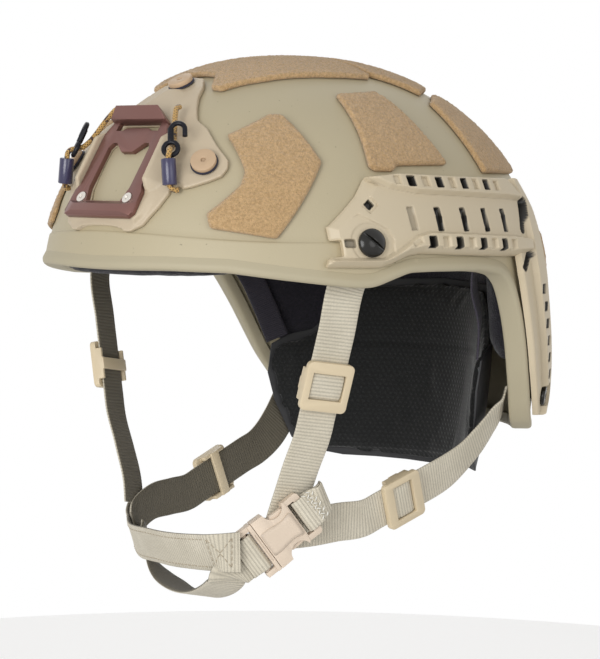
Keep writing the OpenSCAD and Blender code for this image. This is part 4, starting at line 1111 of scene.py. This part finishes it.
def makeRails():
    plate = ridgeLow + railTop + railFront
    arm = [(readOff(armFront, z), z) for z in armLevels]
    arm += [(readOff(armBack, z), z) for z in armLevels[::-1]]
    bm, dark = joinSheets([
        reliefSheet(plate, plateRelief, rail["seat"]),
        reliefSheet(arm, armRelief, rail["armSeat"]),
    ])
    bmesh.ops.recalc_face_normals(bm, faces=bm.faces)
    left = meshPiece("leftRail", bm, 30, finish["rail"])
    # The openings' painted shadow, kept as the mark deep
    markPoints(left, "deep", dark)
    settlePair(left, "root", "rail_polymer", "left_rail")


makeRails()
print("rails made")


# Hard pieces that keep their solid's form, with softened edges; angles in degrees, the join in metres
softEdge = {"flat": 0.6, "sharp": 28, "segments": 2, "join": 2e-6, "shadeAngle": 32}


def copyNode(node):
    bm = bmesh.new()
    bm.from_mesh(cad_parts[node].data)
    bmesh.ops.remove_doubles(bm, verts=bm.verts, dist=softEdge["join"])
    return bm


def soften(bm, width):
    flat, least = math.radians(softEdge["flat"]), math.radians(softEdge["sharp"])
    bmesh.ops.dissolve_limit(bm, angle_limit=flat, verts=bm.verts, edges=bm.edges)
    sharp = [e for e in bm.edges if e.is_manifold and e.calc_face_angle(0) > least]
    bmesh.ops.bevel(bm, geom=sharp, offset=width * mm, offset_type="OFFSET", affect="EDGES",
                    segments=softEdge["segments"], profile=0.5, material=-1, clamp_overlap=True)
    return bm


# Each one's node, body, slot, finish and width of its soft edges in millimetres
hardPieces = {
    "shroudInsert": ("shroud_insert", "root", "shroud_alloy", "insert", 0.35),
    "insertScrews": ("insert_screws", "root", "screw_plated", "insertScrew", 0.2),
    "shroudScrews": ("shroud_screws", "root", "screw_tan", "shroudScrew", 0.5),
    "shroudWashers": ("shroud_washers", "root", "washer_rubber", "washer", 0.15),
    "leftSleeve": ("left_lanyard_sleeve", "root", "lanyard_sleeve", "sleeve", 0.5),
    "rightSleeve": ("right_lanyard_sleeve", "root", "lanyard_sleeve", "sleeve", 0.5),
    "leftHook": ("left_hook", "left_hook", "hook_black", "hook", 0.2),
    "rightHook": ("right_hook", "right_hook", "hook_black", "hook", 0.2),
    "railFrontScrews": ("rail_front_screws", "root", "screw_black", "blackMetal", 0.25),
    "railRearScrews": ("rail_rear_screws", "root", "screw_black", "blackMetal", 0.25),
    "railStandoffs": ("rail_standoffs", "root", "washer_rubber", "washer", 0.15),
    "railNuts": ("rail_nuts", "root", "screw_black", "blackMetal", 0.25),
    "napeStiffener": ("nape_stiffener", "root", "nape_plastic", "stiffener", 0.2),
    "dialHousing": ("dial_housing", "root", "dial_plastic", "dial", 0.4),
    "dialKnob": ("dial_knob", "fit_dial", "dial_plastic", "dial", 0.4),
    "buckleHousing": ("buckle_housing", "root", "buckle_plastic", "buckle", 0.5),
    "buckleTongue": ("buckle_tongue", "buckle_tongue", "buckle_plastic", "buckle", 0.3),
}
for side in ("left", "right"):
    for place in ("front", "rear"):
        node = f"{side}_{place}_slider"
        hardPieces[f"{side}{place.title()}Slider"] = (node, node, "buckle_plastic", "slider", 0.6)
for name, (node, body, slot, look, width) in hardPieces.items():
    piece = meshPiece(name, soften(copyNode(node), width), softEdge["shadeAngle"], finish[look])
    settle(piece, body, slot, node)
print("hard pieces made")


# Webbing: flat ribs swept along its route, with its own map along and across
web = {
    "width": 19.5,
    "thick": 1.5,
    "step": 0.34,
    "rib": 1.7,
    "ribHeight": 0.07,
    "across": 9,
    "edgeRound": 0.8,
}


# A curve through the points, its lengths followed, with the face's direction at each place
def smoothRoute(points, faces, step):
    points, faces = np.array(points, float), np.array(faces, float)
    knots = np.append(0, np.linalg.norm(np.diff(points, axis=0), axis=1).cumsum())
    slope = np.gradient(points, knots, axis=0)
    turns = np.gradient(faces, knots, axis=0)
    place = np.linspace(0, knots[-1], int(knots[-1] / step) + 1)
    cell = np.clip(np.searchsorted(knots, place, "right") - 1, 0, len(knots) - 2)
    size = (knots[cell + 1] - knots[cell])[:, None]
    t = (place - knots[cell])[:, None] / size
    a, b, c, d = 2 * t**3 - 3 * t**2 + 1, t**3 - 2 * t**2 + t, 3 * t**2 - 2 * t**3, t**3 - t**2
    route = a * points[cell] + b * size * slope[cell] + c * points[cell + 1] + d * size * slope[cell + 1]
    look = a * faces[cell] + b * size * turns[cell] + c * faces[cell + 1] + d * size * turns[cell + 1]
    return route, look, place


# The ways across and out of a route's face
def frames(route, look):
    along = np.gradient(route, axis=0)
    along /= np.linalg.norm(along, axis=1)[:, None]
    wide = np.cross(along, look)
    wide /= np.linalg.norm(wide, axis=1)[:, None]
    return wide, np.cross(wide, along)


# Half of the webbing's section, from one edge over the outer face and round the other edge
def halfSection(half, deep):
    bend = deep * web["edgeRound"]
    flat = [(x, deep) for x in np.linspace(-1, 1, web["across"]) * (half - bend)]
    turns = np.radians([45, 90, 135])
    return flat + [(half - bend + bend * math.sin(a), deep * math.cos(a)) for a in turns]


def webPiece(name, points, faces, width=web["width"], thick=web["thick"], look="webbing"):
    route, face, place = smoothRoute(points, faces, web["step"])
    wide, out = frames(route, face)
    upper = halfSection(width / 2, thick / 2)
    ring = np.array(upper + [(-x, -y) for x, y in upper] + upper[:1])
    depth = web["ribHeight"] / (thick / 2)
    ribs = 1 - depth * (1 - np.abs(np.sin(np.pi * place / web["rib"])))
    bm, column, row = gridSheet(len(route) - 1, len(ring) - 1)
    x, y = ring[row, 0], ring[row, 1] * ribs[column]
    movePoints(bm, route[column] + wide[column] * x[:, None] + out[column] * y[:, None])
    mapAlong(bm, place[column] * mm, ring[row, 0] * mm, ring[row, 1] < 0)
    return meshPiece(name, bm, 50, finish[look])


# The map and the inner face's mark of a swept sheet, which is then closed
def mapAlong(bm, along, across, inner):
    uv = bm.loops.layers.uv.new("weave")
    side = bm.verts.layers.float.new("inner")
    bm.verts.index_update()
    for face in bm.faces:
        for loop in face.loops:
            loop[uv].uv = (along[loop.vert.index], across[loop.vert.index])
    for vert in bm.verts:
        vert[side] = float(inner[vert.index])
    bmesh.ops.remove_doubles(bm, verts=bm.verts, dist=1e-6)
    bmesh.ops.holes_fill(bm, edges=[e for e in bm.edges if e.is_boundary], sides=0)
    bmesh.ops.recalc_face_normals(bm, faces=bm.faces)


cord = {"step": 0.35, "look": (0.31, 0.2, 0.93), "strands": 4}


def cordPiece(name, points, diameter, look, sides=14):
    route, face, place = smoothRoute(points, [cord["look"]] * len(points), cord["step"])
    wide, out = frames(route, face)
    bm, column, row = gridSheet(len(route) - 1, sides)
    turn = (2 * math.pi / sides * row)[:, None]
    ring = wide[column] * np.cos(turn) + out[column] * np.sin(turn)
    movePoints(bm, route[column] + ring * diameter / 2)
    mapAlong(bm, place[column] * mm, cord["strands"] * row / sides, np.zeros(len(row)))
    return meshPiece(name, bm, allSmooth, finish[look])


def joinPieces(name, parts):
    bm = bmesh.new()
    material = parts[0].data.materials[0]
    for part in parts:
        bm.from_mesh(part.data)
        bpy.data.objects.remove(part)
    return meshPiece(name, bm, 50, material)


def unit(vector):
    return np.array(vector, float) / np.linalg.norm(vector)


# The chin strap's routes, as the solids have them
frontStrap = {
    "face": (0.94, -0.34, 0),
    "slider": np.array((77.5, -58.25, -48)),
    "run": unit((-12, -2.5, -48)),
    "straight": (-25, -15, 15, 24),
    "above": [layOn("side", -55.6, 25.6, -12.5), layOn("side", -56.8, 13, -12.5), (89, -55.6, 1)],
    "below": [(64, -60, -89), (57, -60.5, -107), (54, -62, -118)],
}
rearStrap = {
    "slider": np.array((66.5, 9, -109.4)),
    "run": unit((-4.2, -38, -13.2)),
    "straight": (-24, -15, 15, 24),
    "face": (0.97, -0.1, -0.1),
    "above": [
        onShell(128.3, -57, -13.1), onShell(127.3, -66, -13.9), (74, 70, -75), (72.4, 61.5, -84),
        (70.6, 52, -92), (69.3, 41, -98.2),
    ],
    "below": [(61, -30, -118.2), (57.8, -46, -119.3), (52.2, -61.4, -120)],
    "fold": [(52.8, -60.8, -125.4), (47.6, -66.4, -129.4)],
    "foldFaces": [(0.9, -0.4, -0.1), (0.76, -0.58, -0.2)],
    "faces": [
        (0.75, 0.66, 0), (0.78, 0.6, 0), (0.86, 0.5, 0), (0.9, 0.42, 0), (0.93, 0.3, -0.1),
        (0.95, 0.1, -0.1), (0.97, 0, -0.1), (0.97, -0.03, -0.1), (0.97, -0.07, -0.1), (0.97, -0.1, -0.1),
        (0.96, -0.2, -0.05), (0.94, -0.3, 0), (0.94, -0.34, 0),
    ],
}


# A strap runs straight where its slider moves
def wholeRoute(strap):
    straight = [strap["slider"] + strap["run"] * reach for reach in strap["straight"]]
    return strap["above"] + straight + strap["below"]


def makeStraps():
    points = wholeRoute(frontStrap)
    front = webPiece("leftFrontStrap", points, [frontStrap["face"]] * len(points))
    settlePair(front, "root", "webbing", "left_front_strap")
    points = wholeRoute(rearStrap)
    rear = webPiece("leftRearStrap", points, rearStrap["faces"])
    settle(rear, "root", "webbing", "left_rear_strap")
    # the far one runs on into the front band's fold
    points, faces = points[:-1] + rearStrap["fold"], rearStrap["faces"][:-1] + rearStrap["foldFaces"]
    folded = webPiece("foldedStrap", points, faces)
    settle(mirrorPiece(folded, "rightRearStrap"), "root", "webbing", "right_rear_strap")
    bpy.data.objects.remove(folded)


# Chin bands: one folds round the far cheek and crosses the chin, the other goes under it
bands = {
    "front": [
        (-61.2, -50.1, -122.5), (-59.4, -56.8, -125.5), (-54.6, -62.7, -128.6), (-49.2, -67.4, -131.4),
        (-42.5, -72.6, -133), (-33.5, -78.4, -133.5), (-23, -83.4, -132.9), (-12.7, -87.4, -132.1),
        (3.3, -91.6, -131.6), (19.3, -94.4, -130.6), (34, -96.2, -129.3), (46.4, -96, -128.1),
        (52.3, -88.6, -127.8),
    ],
    "frontFaces": [
        (-0.94, -0.34, 0), (-0.93, -0.36, -0.05), (-0.88, -0.45, -0.15), (-0.75, -0.6, -0.2),
        (-0.6, -0.75, -0.3), (-0.45, -0.85, -0.38), (-0.3, -0.94, -0.42), (-0.2, -0.97, -0.42),
        (-0.1, -1, -0.42), (-0.05, -1, -0.42), (0.15, -1, -0.36), (0.55, -0.8, -0.2), (0.8, -0.6, 0),
    ],
    "lower": [
        (-43.5, -64.5, -126), (-42, -65.5, -133), (-36, -67, -140.5), (-27, -69, -146.8),
        (-15.7, -72.5, -151.2), (-5.2, -76, -153.4), (6.7, -79, -154.2), (18.3, -81.6, -153.5),
        (27.7, -83.7, -151), (35.4, -85.2, -147.4), (41.2, -86.8, -143.5), (44.9, -88.6, -140.1),
        (47.2, -87.7, -137.1), (49.2, -83.4, -133.5),
    ],
    "lowerFaces": [
        (-0.7, -0.7, 0), (-0.7, -0.6, -0.15), (-0.75, -0.6, -0.25), (-0.5, -0.4, -0.7),
        (-0.22, -0.22, -0.95), (-0.1, -0.2, -1), (0.05, -0.2, -1), (0.2, -0.25, -0.95), (0.38, -0.3, -0.85),
        (0.58, -0.36, -0.7), (0.78, -0.42, -0.45), (0.84, -0.46, -0.2), (0.862, -0.507, 0),
        (0.862, -0.507, 0),
    ],
    "still": (-0.05, -0.076, -0.122),
    "moved": (0.044, -0.09, -0.131),
}


# The band's placing is baked into its points
def blendBand(piece):
    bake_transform(piece)


def makeBands():
    for name, node in (("front", "chin_front_band"), ("lower", "chin_lower_band")):
        band = webPiece(f"chin{name.title()}Band", bands[name], bands[name + "Faces"])
        blendBand(band)
        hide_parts(node)


# The side-release buckle: y runs from the housing to the tongue and z looks out of its face
buckle = {
    "at": np.array((57.8, -69.8, -121.5)),
    "run": unit((-0.406, -0.69, -0.6)),
    "face": (0.862, -0.507, 0),
    "neck": -20,
}


def squareTo(run, face):
    face = np.array(face, float) - run * (np.array(face, float) @ run)
    return face / np.linalg.norm(face)


def onBuckle(points):
    run, out = buckle["run"], squareTo(buckle["run"], buckle["face"])
    wide = np.cross(run, out)
    return [buckle["at"] + wide * x + run * y + out * z for x, y, z in points]


# The webbing loop in each slider: its rise over the strap, along the strap
keeper = {
    "width": 16.9,
    "thick": 1.6,
    "rise": ((-6, 1.6), (-4.5, 2.25), (0, 2.6), (4.5, 2.25), (6, 1.6)),
}


def makeKeepers():
    for place, strap in (("front", frontStrap), ("rear", rearStrap)):
        run, out = strap["run"], squareTo(strap["run"], strap["face"])
        points = [strap["slider"] + run * y + out * z for y, z in keeper["rise"]]
        faces = [out] * len(points)
        piece = webPiece(f"left{place.title()}Keeper", points, faces, keeper["width"], keeper["thick"])
        settlePair(piece, f"left_{place}_slider", "webbing", f"left_{place}_keeper")


# The sewn tab holds the housing's neck between two layers and ends where the straps meet
tab = {
    "width": 17,
    "thick": 1.4,
    "lift": 0.72,
    "round": ((5, 1.2), (4.2, 2.6), (2.4, 3.1), (-0.6, 2.5)),
    "start": -4.5,
    "sag": np.array((0.9, 0, 0)),
    "end": np.array((67.9, -46.5, -102.5)),
    "face": (0.868, -0.369, -0.328),
}


def makeTab():
    neck, run, end = buckle["neck"], buckle["run"], tab["end"]
    start = buckle["at"] + run * (neck + tab["start"])
    line = (start, (start + end) / 2 + tab["sag"], end)
    faces = [squareTo(run, buckle["face"])] * 5 + [squareTo(run, tab["face"])] * 2
    layers = []
    for side in (1, -1):
        points = onBuckle([(0, neck + y, z * side) for y, z in tab["round"]])
        points += [point + face * tab["lift"] * side for point, face in zip(line, faces[4:])]
        layers.append(webPiece(f"tabLayer{side}", points, faces, tab["width"], tab["thick"]))
    settle(joinPieces("buckleTab", layers), "root", "webbing", "buckle_tab")


# The webbing round the tongue's bar
barLoop = {
    "at": 12.9,
    "wrap": 2.55,
    "turns": range(-30, 211, 20),
    "ends": ((7.4, -0.78), (5.4, -0.8), (3.2, -1.6)),
}


def makeBarWrap():
    bar, wrap = barLoop["at"], barLoop["wrap"]
    loop = [(0, bar - wrap * math.sin(a), -wrap * math.cos(a)) for a in np.radians(barLoop["turns"])]
    ends = [(0, bar + y, z) for y, z in barLoop["ends"]]
    route = ends + loop + [(x, y, -z) for x, y, z in reversed(ends)]
    flat = np.array(route)[:, 1:]
    along = np.gradient(flat, axis=0)
    normal = np.stack([0 * along[:, 0], -along[:, 1], along[:, 0]], 1)
    faces = [point - buckle["at"] for point in onBuckle(normal)]
    piece = webPiece("barWebbing", onBuckle(route), faces)
    settle(piece, "buckle_tongue", "webbing", "bar_webbing")


# The raised plate on the housing's face
raisedPlate = {
    "outline": mirrored([(0, 6.6), (6.4, 6.6), (6.4, 2), (5.2, -6), (6.6, -11.6), (0, -11.6)]),
    "corner": 1.2,
    "step": 0.8,
    "low": 3.2,
    "high": 4.9,
    "edge": 1.4,
    "drop": 0.9,
}


def makeRaisedPlate():
    outline = roundCorners(raisedPlate["outline"], raisedPlate["corner"], 4)
    low, high = raisedPlate["low"], raisedPlate["high"]
    bm = thicken(flatSheet(outline, raisedPlate["step"]), low, high)
    flat = vertsOf(bm)
    inside = edgeDistance(flat[:, :2], outline)[0]
    drop = raisedPlate["drop"] * (1 - ramp(inside, raisedPlate["edge"])) ** 1.5
    flat[:, 2] -= np.where(flat[:, 2] > (low + high) / 2, drop, 0)
    movePoints(bm, onBuckle(flat))
    bmesh.ops.recalc_face_normals(bm, faces=bm.faces)
    settle(meshPiece("buckleRaisedPlate", bm, 40, finish["buckle"]), "root", "buckle_plastic")


# The nape hangers and the fit dial's laces: plan angle, height and depth inside the shell
hanger = {
    "width": 13,
    "thick": 1.2,
    "route": ((104, 22, -12), (108, 12, -19), (112, -2, -24.2), (117, -20, -24.2), (121, -38.9, -26.2)),
}
lace = {
    "diameter": 1.6,
    "sides": 10,
    "depth": -24.8,
    "route": ((168.5, -93), (160, -89), (150, -82), (140, -74), (130, -64), (124, -54), (121, -46)),
}


def makeHangers():
    parts = []
    for side in (1, -1):
        points = [onShell(u, z, d) * (side, 1, 1) for u, z, d in hanger["route"]]
        faces = [unit(onShell(u, 0)) * (side, 1, 1) for u, z, d in hanger["route"]]
        parts.append(webPiece(f"hanger{side}", points, faces, hanger["width"], hanger["thick"], "hanger"))
    settle(joinPieces("napeHangers", parts), "root", "hanger_webbing", "nape_hangers")


def makeLaces():
    parts = []
    for side in (1, -1):
        points = [onShell(u, z, lace["depth"]) * (side, 1, 1) for u, z in lace["route"]]
        parts.append(cordPiece(f"lace{side}", points, lace["diameter"], "lace", lace["sides"]))
    settle(joinPieces("dialLaces", parts), "root", "lace_nylon", "dial_laces")


# Lanyards: one cord a side, from the shroud's wing through its sleeve and the hook's eye
lanyard = {
    "diameter": 2.6,
    "route": [
        (39.3, -118.6, 44.3), (39, -120.8, 44.5), (38.2, -122.2, 45.8), (37.25, -122.4, 52.8),
        (36.6, -122.3, 59.6), (36.6, -122, 61.3), (35.9, -120.9, 62.9), (34.2, -118.6, 63.6),
        (32.5, -116.3, 64.3), (30.4, -113.4, 67), (28.2, -110.8, 71), (25.8, -108.6, 75.5),
        (23.4, -106, 80), (21.5, -103.3, 83.2), (20.8, -100.8, 83.8),
    ],
}


def makeLanyards():
    left = cordPiece("leftLanyard", lanyard["route"], lanyard["diameter"], "cord")
    settlePair(left, "root", "lanyard_elastic", "left_lanyard_cord")


# Front shroud: its solid's form with the edges worn round, and a low arch cut under its foot
shroud = {"voxel": 0.65, "smooth": 0.5, "rounds": 3}
shroudArch = {"foot": 24.3, "rise": 3.2, "half": 17, "skin": -0.5}


def cutArch(points):
    x, y, z = (points / mm).T
    bow = np.sqrt(np.clip(1 - (x / shroudArch["half"]) ** 2, 0, 1))
    skin = layOn("front", x, z, shroudArch["skin"])[:, 1]
    top = shroudArch["foot"] + shroudArch["rise"] * bow
    under = (np.abs(x) < shroudArch["half"]) & (z < top) & (y < skin)
    return np.stack([x, np.where(under, skin, y), z], 1) * mm


def makeShroud():
    piece = meshPiece("shroudBody", copyNode("shroud_body"), allSmooth, finish["shroud"])
    addModifier(piece, "REMESH", mode="VOXEL", voxel_size=shroud["voxel"] * mm)
    addModifier(piece, "SMOOTH", factor=shroud["smooth"], iterations=shroud["rounds"])
    applyModifiers(piece)
    setPoints(piece.data, cutArch(pointsOf(piece.data)))
    shade(piece, allSmooth)
    settle(piece, "root", "shroud_polymer", "shroud_body")


# Sewing: short threads laid on the webbing, in lines along it and in a crossed box at the band's end
stitch = {
    "length": 2.0,
    "pitch": 2.9,
    "radius": 0.26,
    "girth": 0.62,
    "edge": 7.3,
    "start": 20,
    "boxStart": 17,
    "step": 0.3,
    "lift": 0.78,
    "box": (
        ((-15, -7.5), (-4, 7.5)), ((-15, 7.5), (-4, -7.5)),
        ((-15, -7.5), (-15, 7.5)), ((-4, -7.5), (-4, 7.5)),
    ),
    "boxLift": 0.8,
    "boxRadius": 0.286,
}


def layThread(bm, start, end, out, radius):
    run, middle = end - start, (start + end) / 2
    long = np.linalg.norm(run)
    run = run / long
    out = squareTo(run, out)
    shape = [run * long * stitch["girth"], np.cross(out, run) * radius, out * radius]
    place = Matrix.Translation(middle * mm) @ Matrix(shape).transposed().to_4x4()
    bmesh.ops.create_icosphere(bm, subdivisions=1, radius=mm, matrix=place)


# Threads on webbing, from places in pairs along and across it; a negative place counts from its end
def sewLine(bm, points, faces, spots, lift, radius):
    route, face, place = smoothRoute(points, faces, stitch["step"])
    wide, out = frames(route, face)
    line = []
    for reach, across in spots:
        i = int(reach / stitch["step"])
        i = min(i if reach >= 0 else len(route) - 1 + i, len(route) - 1)
        line.append((route[i] + wide[i] * across + out[i] * lift, out[i]))
    for (start, way), (end, _) in zip(line[::2], line[1::2]):
        layThread(bm, start, end, way, radius)


def sewBands():
    bm = bmesh.new()
    points, faces = bands["front"], bands["frontFaces"]
    long = sum(np.linalg.norm(np.diff(np.array(points), axis=0), axis=1))
    for across in (-stitch["edge"], stitch["edge"]):
        spots = []
        for reach in np.arange(stitch["start"], long - stitch["boxStart"], stitch["pitch"]):
            spots += [(reach, across), (reach + stitch["length"], across)]
        sewLine(bm, points, faces, spots, stitch["lift"], stitch["radius"])
    for (a, b), (c, d) in stitch["box"]:
        steps = int(math.hypot(c - a, d - b) / stitch["pitch"])
        shares = [(k + part) / steps for k in range(steps) for part in (0.1, 0.8)]
        spots = [(a + (c - a) * t, b + (d - b) * t) for t in shares]
        sewLine(bm, points, faces, spots, stitch["boxLift"], stitch["boxRadius"])
    blendBand(meshPiece("bandStitches", bm, allSmooth, finish["thread"]))


# Two rows of zigzag stitches close the tab behind the neck
zigzag = {
    "rows": ((-2.6, 2.55), (-5.4, 2.1)),
    "first": -7.2,
    "pitch": 1.6,
    "count": 10,
    "run": (1.4, 1.9, 0.15),
    "radius": 0.34,
}


def sewTab():
    bm, out = bmesh.new(), squareTo(buckle["run"], buckle["face"])
    across, swing, fall = zigzag["run"]
    for row, lift in zigzag["rows"]:
        y = buckle["neck"] + row
        for k in range(zigzag["count"]):
            x = zigzag["first"] + zigzag["pitch"] * k
            ends = ((x, y, lift), (x + across, y - swing * (-1) ** k, lift - fall))
            layThread(bm, *onBuckle(ends), out, zigzag["radius"])
    settle(meshPiece("tabStitches", bm, allSmooth, finish["paleThread"]), "root", "webbing")


makeStraps()
makeBands()
makeKeepers()
makeTab()
makeBarWrap()
makeRaisedPlate()
sewBands()
sewTab()
makeHangers()
makeLaces()
makeLanyards()
makeShroud()
print("straps, cords and shroud made")


# Pads: swollen foam in cloth, from their solids' forms
padLooks = {
    "browPad": ("brow_pad", "pad", 0.6),
    "crownPad": ("crown_pad", "pad", 0.6),
    "leftFrontPad": ("left_front_pad", "pad", 0.6),
    "rightFrontPad": ("right_front_pad", "pad", 0.6),
    "leftRearPad": ("left_rear_pad", "pad", 0.6),
    "rightRearPad": ("right_rear_pad", "pad", 0.6),
    "backPad": ("back_pad", "pad", 0.6),
    "napePad": ("nape_pad", "nape", 0.4),
}
padSim = {
    "shrink": 0.6,
    "voxel": 4.2,
    "napeVoxel": 2.6,
    "napeRounds": 10,
    "pressure": 4,
    "frames": 20,
    "cap": 1.0,
}
napeSeam = {"height": -40, "depth": 1.1, "width": 1.7, "hem": -101, "hemShare": 0.8, "radius": 82}


# Air pressure swells every pad at once, and no point moves further than the cap
def swellPads(pieces):
    before = {}
    for piece in pieces:
        points = pointsOf(piece.data) - pointsOf(piece.data, "normal") * padSim["shrink"] * mm
        setPoints(piece.data, points)
        before[piece.name] = points
        cloth = addModifier(piece, "CLOTH")
        cloth.settings.use_pressure = True
        cloth.settings.uniform_pressure_force = padSim["pressure"]
        cloth.settings.effector_weights.gravity = 0
    for step in range(1, padSim["frames"] + 1):
        bpy.context.scene.frame_set(step)
    for piece in pieces:
        applyModifiers(piece)
        move = pointsOf(piece.data) - before[piece.name]
        size = np.maximum(np.linalg.norm(move, axis=1)[:, None], 1e-9)
        setPoints(piece.data, before[piece.name] + move * np.minimum(1, padSim["cap"] * mm / size))
    bpy.context.scene.frame_set(1)


# Sinks the nape pad's seam and hem, and lays its map round the head
def sewNape(piece):
    def groove(level):
        return np.exp(-(((z - napeSeam[level]) / napeSeam["width"]) ** 2))

    points, out = pointsOf(piece.data), pointsOf(piece.data, "normal")
    z = points[:, 2] / mm
    sunk = groove("height") + napeSeam["hemShare"] * groove("hem")
    setPoints(piece.data, points - out * (napeSeam["depth"] * mm * sunk)[:, None])
    uv = piece.data.uv_layers.new(name="weave")
    turn = np.arctan2(points[:, 0], points[:, 1]) * napeSeam["radius"] * mm
    corners = np.zeros(len(piece.data.loops), int)
    piece.data.loops.foreach_get("vertex_index", corners)
    uv.data.foreach_set("uv", np.stack([turn[corners], points[corners, 2]], 1).ravel())


def makePads():
    pieces = []
    for name, (node, look, _) in padLooks.items():
        piece = meshPiece(name, copyNode(node), allSmooth, finish[look])
        voxel = padSim["napeVoxel" if look == "nape" else "voxel"]
        addModifier(piece, "REMESH", mode="VOXEL", voxel_size=voxel * mm)
        if look == "nape":
            addModifier(piece, "SMOOTH", factor=0.5, iterations=padSim["napeRounds"])
        applyModifiers(piece)
        pieces.append(piece)
    swellPads(pieces)
    for piece in pieces:
        node, look, fill = padLooks[piece.name]
        addModifier(piece, "SUBSURF", levels=1, render_levels=1)
        applyModifiers(piece)
        if look == "nape":
            sewNape(piece)
        shade(piece, allSmooth)
        settle(piece, "root", "pad_fabric" if look == "pad" else "nape_mesh", node)


makePads()
print("pads made")
